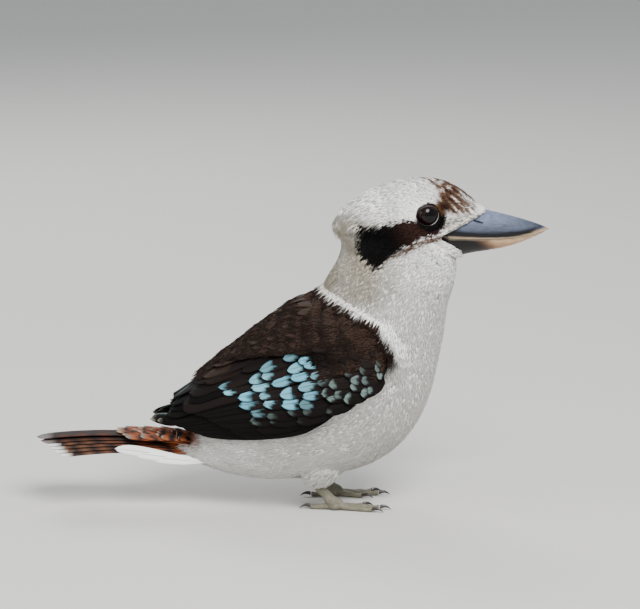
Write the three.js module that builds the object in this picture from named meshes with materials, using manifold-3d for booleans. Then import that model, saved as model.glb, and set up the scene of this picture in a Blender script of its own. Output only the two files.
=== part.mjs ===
// A laughing kookaburra, life size, standing on the ground with its wings folded,
// its tail level and its head raised and turned a little to its left.
// Millimetres, +X where the body faces, +Y to the bird's left, +Z up, floor at Z = 0.
import * as THREE from "three";
import { mergeVertices } from "three/addons/utils/BufferGeometryUtils.js";
import Module from "manifold-3d";

const wasm = await Module();
wasm.setup();
const { Manifold, Mesh: SolidMesh } = wasm;

// Driving sizes of the whole bird
const HEAD_YAW = THREE.MathUtils.degToRad(18); // bill turned to the bird's left
const NECK_X = 64; // the upright line that the head turns about
const GAP = 0.35; // left between two nodes that touch
const VANE = 0.75; // thickness of a feather's vane
const EDGE_DROP = 0.03; // how far a vane falls to each side of its shaft, as a share of its width
const ROUND = 24; // sides of the body's sections
const ALONG = 24; // sections along the body
const SLIVER = 0.05; // detail finer than this is merged away

// Body sections from the tail root to the top of the neck: back [x, z], belly [x, z], half width,
// how far the widest part sits below the middle, share of the head's turn
const BODY_SECTIONS = [
  [-84, 44, -78, 33, 9, 0, 0],
  [-64, 51, -60, 25, 19, 0, 0],
  [-45, 73, -38, 18.5, 29, 0.05, 0],
  [-28, 96, -12, 17, 37, 0.1, 0],
  [-11, 117, 12, 20, 42, 0.12, 0],
  [4, 131, 37, 24, 45, 0.12, 0],
  [12, 140, 59, 35, 46, 0.12, 0],
  [15, 146, 75, 53, 44.5, 0.1, 0.02],
  [18, 152, 84, 73, 40, 0.08, 0.08],
  [22, 159, 89, 95, 35, 0.05, 0.2],
  [25, 166, 93, 115, 30, 0, 0.4],
  [26.5, 173, 95, 134, 26.5, 0, 0.7],
  [31, 180, 100, 151, 25, 0, 0.9],
  [41, 186, 101.5, 160, 23, 0, 1],
];
const NECK_START = 0.66; // share of the body's length where the neck begins

// Outer form of the folded bird, which the wing feathers follow, same columns
const FOLDED_SECTIONS = [
  [-112, 57, -112, 52, 3, 0, 0],
  [-98, 62.5, -97, 54, 9, 0, 0],
  [-86, 69, -82, 47, 17, 0, 0],
  [-72, 80, -66, 41, 25, 0, 0],
  [-52, 95.5, -44, 34, 34.5, 0.05, 0],
  [-31, 112, -16, 26, 42, 0.1, 0],
  [-11, 127, 10, 20, 47, 0.12, 0],
  [5, 137.5, 36, 24, 49.5, 0.12, 0],
  [11, 143.5, 60, 36, 50, 0.12, 0],
  [14, 150, 76, 54, 47.5, 0.1, 0],
  [18, 158, 88, 80, 42.5, 0.05, 0],
];

// Head sections from the nape to the forehead, along the head's own axis from the line it turns about;
// the whole head is turned afterwards, so the last column is 0
const HEAD_SECTIONS = [
  [-42, 190, -41, 178, 6, 0, 0],
  [-38, 197, -37, 171, 15, 0.1, 0],
  [-29, 203, -27, 163.5, 21.5, 0.15, 0],
  [-15, 209.5, -14, 157.5, 25.5, 0.2, 0],
  [0, 213, 0, 155, 26.3, 0.25, 0],
  [13, 213.6, 14, 155, 24, 0.25, 0],
  [25, 212.2, 26, 157, 21, 0.2, 0],
  [34, 209, 34, 160, 18, 0.15, 0],
  [42, 204, 41, 163, 15.5, 0.1, 0],
  [49, 198.5, 48, 166, 13.6, 0.05, 0],
  [55, 193, 54, 170, 12, 0, 0],
  [60, 189, 60, 176, 9, 0, 0],
];

// Bill, on the head's axis
const GAPE = [18, 177.3];
const FOREHEAD_FEATHERS = [57.2, 190.2]; // where the culmen leaves the feathers
const CHIN_FEATHERS = [42, 163.6]; // where the lower mandible leaves them
const UPPER_BILL = [
  // culmen [x, z], cutting edge [x, z], half width
  [14, 206, 14, 178, 18],
  [24, 203, 24, 176.2, 17.2],
  [36, 198.5, 36, 174.6, 15.2],
  [48, 193.6, 48, 173.4, 13.4],
  [58, 189.8, 58, 172.6, 12],
  [68, 187, 68, 172.1, 10.2],
  [78, 184, 78, 172, 8.2],
  [87, 181, 87, 172.6, 6],
  [95, 178, 95, 173.6, 3.6],
  [101.6, 174.9, 101.4, 174.3, 0.7],
];
const LOWER_BILL = [
  // lower edge [x, z], cutting edge [x, z], half width
  [14, 152, 14, 177.5, 16.6],
  [24, 156, 24, 175.7, 15.8],
  [36, 160.5, 36, 174.1, 13.8],
  [48, 162.6, 48, 172.9, 12.2],
  [58, 163.4, 58, 172.1, 10.8],
  [68, 164.4, 68, 171.6, 9],
  [78, 166.3, 78, 171.5, 7],
  [87, 168.9, 87, 172.1, 4.9],
  [95, 171.6, 95, 173.1, 2.6],
  [98.6, 173.1, 98.6, 173.6, 0.8],
];
const NOSTRIL = { along: 48.5, height: 184.2, out: 10.6, length: 8.5, depth: 1.8, high: 0.9, slope: 0.33 };

// Eyes, on the head's axis
const EYE = { along: 11.7, height: 191.6, out: 13.7, radius: 8.5 };
const LID = { wide: 7.5, high: 6.6, tube: 1.25, out: 18.6, lean: 0.16 };
const SOCKET = { wide: 9.1, deep: 3.4, high: 8.1, out: 21.8 }; // the hollow that the lids stand in
const CREST = { count: 5, spread: 0.42, root: 0.22, tip: 0.03 }; // feathers at the nape, on the head's form

// Wings fold like a fan about a focus behind the tip
const FOCUS = [-125, 48];
const MIDLINE = 1.2; // each wing keeps this clear of the bird's middle plane
const UNDER_WING = { along: 15, round: 18, lift: 1.2 }; // the fuller body that the wings are cut by
// Edge of the wing's arm: reach from the focus, lowest slope, highest slope
const ARM_EDGE = [
  [58, 4, 33],
  [80, 4, 34.5],
  [105, 6, 36],
  [130, 8, 36.5],
  [155, 9.5, 35],
  [172, 11.5, 32],
  [184, 13, 27],
  [190, 15.5, 20],
];
const ARM = { columns: 7, top: -1, under: -7 };
const SLIM = { steps: 4, long: true }; // a long feather that tapers
// Tiers of feathers: how many, their slopes, reach of their tips, length and form
const WING_TIERS = {
  primaries: [6, [3, 20], [58, 33], 74, { half: 4.6, sink: 5.5, rise: -1.6, tilt: 1.7, ...SLIM }],
  secondaries: [5, [5, 19], [84, 62], 60, { half: 5.4, sink: 4.6, rise: 0.6, steps: 4, tilt: 1.4 }],
  tertials: [3, [22.5, 31], [58, 70], 60, { half: 7, sink: 4, rise: 2.2, steps: 4, tilt: 1.4 }],
  greaterCoverts: [6, [7, 22], [100, 92], 34, { half: 5.4, sink: 4, rise: 2, tilt: 1.3 }],
  medianCoverts: [6, [9.2, 23], [124, 116], 28, { half: 5.8, sink: 4, rise: 2.4, tilt: 1.3 }],
  lesserCoverts: [5, [11.5, 23], [145, 141], 24, { half: 6.4, sink: 4, rise: 2.4, tilt: 1.3 }],
  lowScapulars: [3, [27, 34.5], [84, 92], 40, { half: 7.4, sink: 4, rise: 3.4, tilt: 1.3 }],
  highScapulars: [3, [26, 34.5], [112, 118], 34, { half: 8, sink: 4, rise: 3.4, tilt: 1.3 }],
};

// Tail
const TAIL = { root: -66, tip: -171, rootZ: 38.5, archZ: 43.6, tipZ: 40.6, layer: 1.08, roof: 0.006 };
const PAIRS = 6; // pairs of tail feathers
const TAIL_VANE = { half: 6.6, spread: 3.2, rootSpread: 1.4, sunk: 8 };
const TAIL_BASE = { long: 21, wide: 13, high: 7.4, ahead: 11, up: 0.6 }; // the flesh that the quills leave

// Legs
const LEG_OUT = 17; // from the middle plane to each leg
const HEEL = [9, 17.5];
const TOE_ROOT = [22, 5];
const TARSUS_R = 2.9;
const FOOT_PAD = 4.4;
const THIGH = { long: 15, wide: 11.5, high: 17, lean: 0.35, ahead: 5, out: 1, z: 31 };
const CLAW = { length: 7.5, radius: 1.35, drop: 2.1 };
// Toes: name, turn from straight ahead toward the outside, length, half width, how many pads
const TOES = [
  ["inner", -17, 19, 2.3, 2],
  ["middle", 2, 29, 2.5, 3],
  ["outer", 15, 25, 2.3, 3],
  ["back", 186, 15, 2.4, 2],
];

// Finishes, from the photograph
const finish = (color, roughness) =>
  new THREE.MeshStandardMaterial({ color, roughness, metalness: 0 });
const WHITE_FEATHER = finish("#d9d8d4", 0.9);
const BROWN_FEATHER = finish("#3b2a25", 0.85);
const RUFOUS_FEATHER = finish("#8a4527", 0.85);
const HORN_GREY = finish("#4b515c", 0.4);
const HORN_TAN = finish("#a88362", 0.45);
const DARK_EYE = finish("#1d100e", 0.08);
const LEG_SKIN = finish("#6f6a58", 0.7);
const CLAW_HORN = finish("#2a2623", 0.45);

const mix = THREE.MathUtils.lerp;
const rad = THREE.MathUtils.degToRad;

// A seeded draw, so that like feathers vary as real ones do and each run gives the same bird.
function seeded(seed) {
  let state = seed;
  return () => {
    state = (state * 1664525 + 1013904223) % 4294967296;
    return state / 4294967296 - 0.5;
  };
}

// A closed three.js geometry as a solid.
function solid(geometry) {
  const bare = geometry.index ? geometry.toNonIndexed() : geometry.clone();
  bare.deleteAttribute("normal");
  bare.deleteAttribute("uv");
  const merged = mergeVertices(bare, 1e-4);
  return new Manifold(
    new SolidMesh({
      numProp: 3,
      vertProperties: merged.attributes.position.array,
      triVerts: new Uint32Array(merged.index.array),
    }),
  );
}

// The largest closed piece of a solid, without loose scraps and slivers.
function largest(whole) {
  return whole.simplify(SLIVER).decompose().reduce((a, b) => (b.volume() > a.volume() ? b : a));
}

// A solid as a named mesh of the bird.
function node(name, whole, material) {
  const { numProp, vertProperties, triVerts } = largest(whole).getMesh();
  const points = new Float32Array((vertProperties.length / numProp) * 3);
  for (let i = 0; i < points.length / 3; i++)
    points.set(vertProperties.subarray(i * numProp, i * numProp + 3), i * 3);
  const geometry = new THREE.BufferGeometry();
  geometry.setAttribute("position", new THREE.BufferAttribute(points, 3));
  geometry.setIndex(new THREE.BufferAttribute(new Uint32Array(triVerts), 1));
  geometry.computeVertexNormals();
  const mesh = new THREE.Mesh(geometry, material);
  mesh.name = name;
  return mesh;
}

function middle(points) {
  return points.reduce((sum, p) => sum.add(p), new THREE.Vector3()).divideScalar(points.length);
}

// A closed solid through rings of points, each with the same count, closed by a fan at each end.
function throughRings(rings) {
  const sides = rings[0].length;
  const points = rings.flat();
  const faces = [];
  rings.slice(1).forEach((_, i) => {
    for (let k = 0; k < sides; k++) {
      const [a, b] = [i * sides + k, i * sides + ((k + 1) % sides)];
      faces.push(a, b, a + sides, b, b + sides, a + sides);
    }
  });
  [rings[0], rings.at(-1)].forEach((ring, end) => {
    const hub = points.push(middle(ring)) - 1;
    const first = end ? (rings.length - 1) * sides : 0;
    for (let k = 0; k < sides; k++) {
      const [a, b] = [first + k, first + ((k + 1) % sides)];
      faces.push(...(end ? [a, b, hub] : [b, a, hub]));
    }
  });
  return facing(points, faces);
}

// A thin closed plate between two grids of points, with the same diagonals on both faces.
function plate(upper, lower) {
  const [rows, columns] = [upper.length, upper[0].length];
  const points = [...upper.flat(), ...lower.flat()];
  const under = rows * columns;
  const at = (i, k) => i * columns + k;
  const faces = [];
  for (let i = 0; i < rows - 1; i++)
    for (let k = 0; k < columns - 1; k++) {
      const [a, b, c, d] = [at(i, k), at(i, k + 1), at(i + 1, k), at(i + 1, k + 1)];
      faces.push(a, b, c, b, d, c);
      faces.push(b + under, a + under, c + under, b + under, c + under, d + under);
    }
  const rim = [];
  for (let k = 0; k < columns; k++) rim.push(at(0, k));
  for (let i = 1; i < rows; i++) rim.push(at(i, columns - 1));
  for (let k = columns - 2; k >= 0; k--) rim.push(at(rows - 1, k));
  for (let i = rows - 2; i > 0; i--) rim.push(at(i, 0));
  rim.forEach((a, i) => {
    const b = rim[(i + 1) % rim.length];
    faces.push(b, a, a + under, b, a + under, b + under);
  });
  return facing(points, faces);
}

// Points and faces as a solid that faces outwards.
function facing(points, faces) {
  const geometry = new THREE.BufferGeometry().setFromPoints(points);
  geometry.setIndex(faces);
  const made = solid(geometry);
  if (made.volume() > 0) return made;
  const reversed = [];
  for (let i = 0; i < faces.length; i += 3)
    reversed.push(faces[i + 1], faces[i], faces[i + 2]);
  geometry.setIndex(reversed);
  return solid(geometry);
}

// A form lofted through sections that each stand between a point of the back and one of the belly.
class Form {
  constructor(sections) {
    const curve = (x, y, z) =>
      new THREE.CatmullRomCurve3(
        sections.map((s) => new THREE.Vector3(s[x], s[y], z === null ? 0 : s[z])),
      );
    this.back = curve(0, 1, null);
    this.belly = curve(2, 3, null);
    this.girth = curve(4, 5, 6);
  }

  section(t) {
    const along = THREE.MathUtils.clamp(t, 0, 1);
    const [back, belly] = [this.back.getPoint(along), this.belly.getPoint(along)];
    const { x: half, y: sag, z: turn } = this.girth.getPoint(along);
    return { back, belly, half, sag, turn };
  }

  // A point on the form: angle 0 is the back, a quarter turn the bird's right, a half turn the belly.
  bare(t, angle) {
    const { back, belly, half, sag, turn } = this.section(t);
    const [c, s] = [Math.cos(angle), Math.sin(angle)];
    const up = (c - sag * s * s) / 2;
    const x = (back.x + belly.x) / 2 + (back.x - belly.x) * up;
    const z = (back.y + belly.y) / 2 + (back.y - belly.y) * up;
    return turned(x, -half * s, z, turn * HEAD_YAW);
  }

  // How the surface runs there: millimetres per unit along and round, and the way out.
  lie(t, angle) {
    const [dt, da] = [0.004, 0.02];
    const along = this.bare(Math.min(t + dt, 1), angle).sub(this.bare(Math.max(t - dt, 0), angle));
    const span = Math.min(t + dt, 1) - Math.max(t - dt, 0);
    const round = this.bare(t, angle + da).sub(this.bare(t, angle - da));
    const out = new THREE.Vector3().crossVectors(round, along).normalize();
    return { along: along.length() / span, round: round.length() / (2 * da), out };
  }

  point(t, angle, lift = 0) {
    const p = this.bare(t, angle);
    return lift ? p.addScaledVector(this.lie(t, angle).out, lift) : p;
  }

  // Where the form passes a point of the side view, on the bird's right.
  find(x, z) {
    let [low, high] = [0, 1];
    const side = (t) => {
      const { back, belly } = this.section(t);
      return (back.x - belly.x) * (z - belly.y) - (back.y - belly.y) * (x - belly.x);
    };
    for (let i = 0; i < 30; i++) {
      const middle = (low + high) / 2;
      if (side(middle) > 0) high = middle;
      else low = middle;
    }
    const { back, belly, sag } = this.section(low);
    const length = back.distanceTo(belly);
    const height = ((x - belly.x) * (back.x - belly.x) + (z - belly.y) * (back.y - belly.y)) / length;
    const q = THREE.MathUtils.clamp((2 * height) / length - 1, -0.995, 0.995);
    const c = sag > 1e-6 ? (Math.sqrt(1 + 4 * sag * (sag + q)) - 1) / (2 * sag) : q;
    return { t: low, angle: Math.acos(THREE.MathUtils.clamp(c, -1, 1)) };
  }

  // The closed loft, swollen by lift all round and at both ends.
  solid(sections, lift = 0, sides = ROUND) {
    const rings = [];
    for (let i = 0; i <= sections; i++) {
      const ring = [];
      for (let k = 0; k < sides; k++)
        ring.push(this.point(i / sections, (2 * Math.PI * k) / sides, lift));
      rings.push(ring);
    }
    for (const [end, next] of [[0, 1], [sections, sections - 1]]) {
      const away = middle(rings[end]).sub(middle(rings[next])).setLength(lift);
      if (lift) rings[end].forEach((p) => p.add(away));
    }
    return throughRings(rings);
  }
}

// A point turned about the neck's upright line.
function turned(x, y, z, yaw) {
  const [c, s] = [Math.cos(yaw), Math.sin(yaw)];
  return new THREE.Vector3(NECK_X + (x - NECK_X) * c - y * s, (x - NECK_X) * s + y * c, z);
}

const BODY = new Form(BODY_SECTIONS);
const FOLDED = new Form(FOLDED_SECTIONS);
const HEAD = new Form(HEAD_SECTIONS);

// A large box that fills one side of a plane, for cutting.
function halfSpace(origin, normal, reach = 400) {
  const box = new THREE.BoxGeometry(reach, reach, reach);
  box.translate(0, 0, reach / 2);
  const up = new THREE.Vector3(0, 0, 1);
  box.applyQuaternion(new THREE.Quaternion().setFromUnitVectors(up, normal.clone().normalize()));
  box.translate(origin.x, origin.y, origin.z);
  return solid(box);
}

// The plane across the body at one share of its length.
function crossPlane(t) {
  const { back, belly } = BODY.section(t);
  const origin = new THREE.Vector3(back.x, 0, back.y);
  const normal = new THREE.Vector3(back.y - belly.y, 0, belly.x - back.x).normalize();
  return { origin, normal };
}

// A rounded feather outline: half its width at the root, full in the middle, blunt at the tip.
const bluntTip = (f) => mix(0.6, 1, Math.min(1, f * 3)) * Math.sqrt(Math.max(0.12, 1 - f ** 5));
const longTip = (f) => mix(0.75, 1, Math.min(1, f * 4)) * Math.sqrt(Math.max(0.08, 1 - f ** 3));

// One feather on a form, from a root that is sunk in it to a tip that lifts clear. Its upper edge is
// tucked under the feather above by tilt, so that neighbours pass over one another.
function vane(form, root, tip, { half, sink, rise, steps = 3, long = false, tilt = 0 }) {
  const [upper, lower] = [[], []];
  const outline = long ? longTip : bluntTip;
  for (let i = 0; i <= steps; i++) {
    const f = i / steps;
    const [t, angle] = [mix(root.t, tip.t, f), mix(root.angle, tip.angle, f)];
    const { along, round, out } = form.lie(t, angle);
    const [runT, runA] = [(tip.t - root.t) * along, (tip.angle - root.angle) * round];
    const run = Math.hypot(runT, runA);
    const across = (side, lift) => {
      const w = side * half * outline(f);
      const p = form.bare(t - (w * runA) / run / along, angle + (w * runT) / run / round);
      return p.addScaledVector(out, lift - EDGE_DROP * Math.abs(w) - (tilt * w) / half);
    };
    const lift = mix(-sink, rise, Math.sqrt(f));
    upper.push([-1, 1].map((side) => across(side, lift + VANE / 2)));
    lower.push([-1, 1].map((side) => across(side, lift - VANE / 2)));
  }
  return plate(upper, lower);
}

// A place on the folded wing, by its reach from the focus and its slope above the level, in degrees.
function onFan(reach, slope) {
  const [x, z] = [FOCUS[0] + reach * Math.cos(rad(slope)), FOCUS[1] + reach * Math.sin(rad(slope))];
  return FOLDED.find(x, z);
}

// A tier of like feathers side by side, from one slope of the fan to another.
function tier(count, [slopeA, slopeB], [reachA, reachB], length, options, draw) {
  return Array.from({ length: count }, (_, i) => {
    const f = count > 1 ? i / (count - 1) : 0.5;
    const slope = mix(slopeA, slopeB, f) + draw() * 0.6;
    const tipReach = mix(reachA, reachB, f) + draw() * 2;
    const own = length + draw() * 2;
    return vane(FOLDED, onFan(tipReach + own, slope), onFan(tipReach, slope), options);
  });
}

// The arm of the wing, a plate that follows the folded form and fills the space down to the body.
function wingArm() {
  const grid = ARM_EDGE.map(([reach, low, high]) =>
    Array.from({ length: ARM.columns }, (_, k) => onFan(reach, mix(low, high, k / (ARM.columns - 1)))),
  );
  const face = (lift) => grid.map((row) => row.map(({ t, angle }) => FOLDED.point(t, angle, lift)));
  return plate(face(ARM.top), face(ARM.under));
}

// The bird's right wing, folded, before it is cut clear of the body and tail.
function rightWing(seed) {
  const draw = seeded(seed);
  const tiers = Object.values(WING_TIERS).flatMap((row) => tier(...row, draw));
  return Manifold.union([wingArm(), ...tiers]);
}

const mirrored = (part) => part.mirror([0, 1, 0]);

// Tail feathers lie on an arched line, roofed across, the middle pair on top.
function tailPoint(x, y, lift) {
  const f = (x - TAIL.root) / (TAIL.tip - TAIL.root);
  const rise = TAIL.archZ - (TAIL.rootZ + TAIL.tipZ) / 2;
  const arch = mix(TAIL.rootZ, TAIL.tipZ, f) + rise * 4 * f * (1 - f);
  return new THREE.Vector3(x, y, arch - TAIL.roof * y * y + lift);
}

function tailVane(from, to, lifts, half, outline, steps) {
  const [upper, lower] = [[], []];
  for (let i = 0; i <= steps; i++) {
    const f = i / steps;
    const [x, y, lift] = [mix(from[0], to[0], f), mix(from[1], to[1], f), mix(lifts[0], lifts[1], f)];
    const across = (side, face) => tailPoint(x, y + side * half * outline(f), lift + (face * VANE) / 2);
    upper.push([-1, 1].map((side) => across(side, 1)));
    lower.push([-1, 1].map((side) => across(side, -1)));
  }
  return plate(upper, lower);
}

function tail() {
  const draw = seeded(11);
  const pieces = [];
  const rump = new THREE.SphereGeometry(1, 14, 8);
  rump.scale(TAIL_BASE.long, TAIL_BASE.wide, TAIL_BASE.high);
  rump.translate(TAIL.root - TAIL_BASE.ahead, 0, TAIL.rootZ + TAIL_BASE.up);
  pieces.push(solid(rump));
  for (let pair = 0; pair < PAIRS; pair++)
    for (const side of [-1, 1]) {
      const layer = pair || side > 0 ? pair : -1;
      const lift = (2.4 - layer) * TAIL.layer;
      const from = [TAIL.root - TAIL_VANE.sunk, side * (1 + pair * TAIL_VANE.rootSpread)];
      const to = [TAIL.tip + pair * 3.2 + draw(), side * (1.6 + pair * TAIL_VANE.spread)];
      pieces.push(tailVane(from, to, [lift, lift], TAIL_VANE.half, longTip, 4));
    }
  // Coverts above and below the root
  for (let k = -2; k <= 2; k++) {
    const from = [TAIL.root - 6, k * 3];
    const step = (k % 2 ? 0.5 : -0.6) * TAIL.layer;
    const above = [-116 + Math.abs(k) * 4 + draw() * 4, k * 5];
    pieces.push(tailVane(from, above, [4.6, 5.8 + step], 5, bluntTip, 3));
    const below = [-112 + Math.abs(k) * 4 + draw() * 4, k * 4.8];
    pieces.push(tailVane(from, below, [-5.6, -6 + step], 4.8, bluntTip, 3));
  }
  return Manifold.union(pieces);
}

// A section of the bill: an arch from one cutting edge over the ridge to the other, and a level mouth.
function billSolid(sections) {
  const ridge = new THREE.CatmullRomCurve3(sections.map((s) => new THREE.Vector3(s[0], s[1], s[4])));
  const edge = new THREE.CatmullRomCurve3(sections.map((s) => new THREE.Vector3(s[2], s[3], 0)));
  const steps = 20;
  const arch = 10;
  const rings = [];
  for (let i = 0; i <= steps; i++) {
    const [r, e] = [ridge.getPoint(i / steps), edge.getPoint(i / steps)];
    const ring = [];
    for (let k = 0; k <= arch; k++) {
      const angle = (Math.PI * k) / arch;
      const up = Math.sin(angle) ** 1.15;
      const out = Math.sign(Math.cos(angle)) * Math.abs(Math.cos(angle)) ** 0.85;
      ring.push(new THREE.Vector3(mix(e.x, r.x, up), -out * r.z, mix(e.y, r.y, up)));
    }
    ring.push(new THREE.Vector3(e.x, 0, e.y));
    rings.push(ring);
  }
  return throughRings(rings);
}

// The wedge of the head that the bill fills, from the gape to the forehead and the chin.
function billWedge(grow) {
  const [top, low] = [FOREHEAD_FEATHERS, CHIN_FEATHERS];
  const reach = 3;
  const shape = new THREE.Shape();
  shape.moveTo(GAPE[0] - grow, GAPE[1]);
  shape.lineTo(mix(GAPE[0], low[0], reach), mix(GAPE[1], low[1], reach) - grow);
  shape.lineTo(mix(GAPE[0], top[0], reach), mix(GAPE[1], top[1], reach) + grow);
  shape.closePath();
  const prism = new THREE.ExtrudeGeometry(shape, { depth: 80, bevelEnabled: false });
  prism.translate(0, 0, -40).rotateX(Math.PI / 2);
  return solid(prism);
}

function bill() {
  const nostrils = [-1, 1].map((side) => {
    const slit = new THREE.SphereGeometry(1, 10, 8);
    slit.scale(NOSTRIL.length / 2, NOSTRIL.depth, NOSTRIL.high);
    slit.rotateY(-NOSTRIL.slope).translate(NOSTRIL.along, side * NOSTRIL.out, NOSTRIL.height);
    return solid(slit);
  });
  const wedge = billWedge(-GAP / 2);
  const upper = billSolid(UPPER_BILL).intersect(wedge).subtract(Manifold.union(nostrils));
  const lower = billSolid(LOWER_BILL).intersect(wedge);
  return { upper, lower };
}

// The head without its bill: sockets, lids and a short ragged crest at the nape.
function head() {
  let whole = HEAD.solid(20, 0, 24);
  const draw = seeded(5);
  const crest = [];
  for (let i = 0; i < CREST.count; i++) {
    const k = i - (CREST.count - 1) / 2;
    const angle = k * CREST.spread + draw() * 0.1;
    const root = { t: CREST.root, angle: angle * 0.7 };
    const tip = { t: CREST.tip + Math.abs(k) * 0.008, angle };
    crest.push(vane(HEAD, root, tip, { half: 3.2, sink: 1.6, rise: 2.6, long: true }));
  }
  const lids = [];
  for (const side of [-1, 1]) {
    const hollow = new THREE.SphereGeometry(1, 16, 10);
    hollow.scale(SOCKET.wide, SOCKET.deep, SOCKET.high);
    hollow.translate(EYE.along, side * SOCKET.out, EYE.height);
    whole = whole.subtract(solid(hollow));
    const lid = new THREE.TorusGeometry(1, LID.tube / LID.wide, 6, 18);
    lid.scale(LID.wide, LID.high, LID.wide).rotateX(Math.PI / 2).rotateZ(side * -LID.lean);
    lid.translate(EYE.along, side * LID.out, EYE.height);
    lids.push(solid(lid));
  }
  whole = Manifold.union([whole, ...crest, ...lids]);
  for (const side of [-1, 1]) whole = whole.subtract(eyeball(side, GAP));
  return whole.subtract(billWedge(GAP / 2));
}

function eyeball(side, swell = 0) {
  const ball = new THREE.SphereGeometry(EYE.radius + swell, 16, 10);
  ball.translate(EYE.along, side * EYE.out, EYE.height);
  return solid(ball);
}

// Everything modelled on the head's axis, turned with it and set over the neck.
function turnHead(part) {
  return part.rotate([0, 0, THREE.MathUtils.radToDeg(HEAD_YAW)]).translate([NECK_X, 0, 0]);
}

// A toe, padded along its length, flat where it stands on the floor.
function toe(length, half, pads, rootLift) {
  const rings = [];
  const steps = pads * 2 + 1;
  for (let i = 0; i <= steps; i++) {
    const f = i / steps;
    const swell = 1 + 0.12 * Math.cos(2 * Math.PI * pads * f);
    const r = half * mix(1, 0.72, f) * swell;
    const ring = [];
    for (let k = 0; k < 8; k++) {
      const a = (2 * Math.PI * (k + 0.5)) / 8;
      const z = r * 0.82 + r * Math.sin(a) + rootLift * (1 - f) ** 3;
      ring.push(new THREE.Vector3(f * length, r * Math.cos(a), Math.max(0, z)));
    }
    rings.push(ring);
  }
  return throughRings(rings);
}

// A claw: a hooked cone that leaves the end of its toe and comes down to the floor.
function claw() {
  const rings = [];
  for (let i = 0; i <= 4; i++) {
    const f = i / 4;
    const r = CLAW.radius * (1 - f) ** 0.8 + 0.22;
    const [x, z] = [CLAW.length * f, CLAW.drop + 0.9 * Math.sin(Math.PI * f) - (CLAW.drop - 0.35) * f * f];
    const ring = [];
    for (let k = 0; k < 6; k++) {
      const a = (2 * Math.PI * k) / 6;
      ring.push(new THREE.Vector3(x, r * Math.cos(a) * 0.8, Math.max(0.05, z + r * Math.sin(a))));
    }
    rings.push(ring);
  }
  return throughRings(rings);
}

// A round limb from one point to another, its radius changing evenly.
function limb(from, to, r0, r1, sides = 14) {
  const line = new THREE.Vector3().subVectors(to, from);
  const cone = new THREE.CylinderGeometry(r1, r0, line.length(), sides, 3);
  cone.translate(0, line.length() / 2, 0);
  const up = new THREE.Vector3(0, 1, 0);
  cone.applyQuaternion(new THREE.Quaternion().setFromUnitVectors(up, line.normalize()));
  return solid(cone.translate(from.x, from.y, from.z));
}

// One leg, side -1 for the bird's right: feathered thigh, tarsus, foot and claws.
function leg(side, bodySwollen) {
  const y = side * LEG_OUT;
  const root = new THREE.Vector3(TOE_ROOT[0], y, TOE_ROOT[1]);
  const place = ([, turn], part) => part.rotate([0, 0, side * turn]).translate([TOE_ROOT[0], y, 0]);
  const ball = (swell) => {
    const pad = new THREE.SphereGeometry(1, 12, 8);
    pad.scale((FOOT_PAD + 0.8) * swell, FOOT_PAD * swell, 3.4 * swell);
    return solid(pad.translate(TOE_ROOT[0] + 1, y, 3));
  };
  const shank = (fromX, fromZ, wide) =>
    limb(new THREE.Vector3(HEEL[0] + fromX, y, HEEL[1] + fromZ), root, TARSUS_R + 0.5 + wide, TARSUS_R + wide);

  const floor = halfSpace(new THREE.Vector3(0, 0, 0), new THREE.Vector3(0, 0, -1));
  const toes = TOES.map((t) => place(t, toe(t[2], t[3], t[4], 1.2)));
  const claws = TOES.map((t) => place(t, claw().translate([t[2] + GAP, 0, 0])));
  const foot = Manifold.union([ball(1).subtract(floor), ...toes]);
  const footSwollen = Manifold.union([ball(1.12), ...toes.map((t) => t.translate([0, 0, GAP]))]);
  const tarsus = shank(-1.6, 2, 0).subtract(footSwollen).subtract(foot).subtract(bodySwollen);

  const flesh = new THREE.SphereGeometry(1, 14, 10);
  flesh.scale(THIGH.long, THIGH.wide, THIGH.high).rotateY(THIGH.lean);
  flesh.translate(HEEL[0] + THIGH.ahead, y + side * THIGH.out, THIGH.z);
  const thigh = solid(flesh).subtract(bodySwollen).subtract(shank(-2.4, 3, 0.4));
  return { thigh, tarsus, foot, claws };
}

function kookaburra() {
  const bird = new THREE.Group();
  const whole = BODY.solid(ALONG);
  const swollen = BODY.solid(ALONG, GAP);
  const underWing = BODY.solid(UNDER_WING.along, UNDER_WING.lift, UNDER_WING.round);
  const cut = crossPlane(NECK_START);
  const ahead = halfSpace(cut.origin, cut.normal);
  const edge = cut.origin.clone().addScaledVector(cut.normal, GAP);
  const behind = halfSpace(edge, cut.normal.clone().negate());
  const headPart = turnHead(head());
  const headSwollen = turnHead(HEAD.solid(20, GAP, 24));
  const tailPart = tail();

  const torso = whole.subtract(ahead);
  bird.add(node("torso", torso, WHITE_FEATHER));
  bird.add(node("neck", whole.subtract(behind).subtract(headSwollen), WHITE_FEATHER));
  bird.add(node("head", headPart, WHITE_FEATHER));
  const { upper, lower } = bill();
  bird.add(node("bill_upper", turnHead(upper), HORN_GREY));
  bird.add(node("bill_lower", turnHead(lower), HORN_TAN));
  bird.add(node("tail", tailPart.subtract(swollen), RUFOUS_FEATHER));

  for (const [side, word] of [[-1, "right"], [1, "left"]]) {
    bird.add(node("eye_" + word, turnHead(eyeball(side)), DARK_EYE));
    const inner = halfSpace(new THREE.Vector3(0, -MIDLINE, 0), new THREE.Vector3(0, 1, 0));
    const ownSide = rightWing(side < 0 ? 3 : 8).subtract(inner);
    const wing = (side < 0 ? ownSide : mirrored(ownSide)).subtract(underWing);
    bird.add(node("wing_" + word, wing, BROWN_FEATHER));
    const { thigh, tarsus, foot, claws } = leg(side, swollen);
    bird.add(node("thigh_" + word, thigh, WHITE_FEATHER));
    bird.add(node("tarsus_" + word, tarsus, LEG_SKIN));
    bird.add(node("foot_" + word, foot, LEG_SKIN));
    TOES.forEach(([name], i) => bird.add(node(`claw_${name}_${word}`, claws[i], CLAW_HORN)));
  }
  return bird;
}

const bird = kookaburra();

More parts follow.
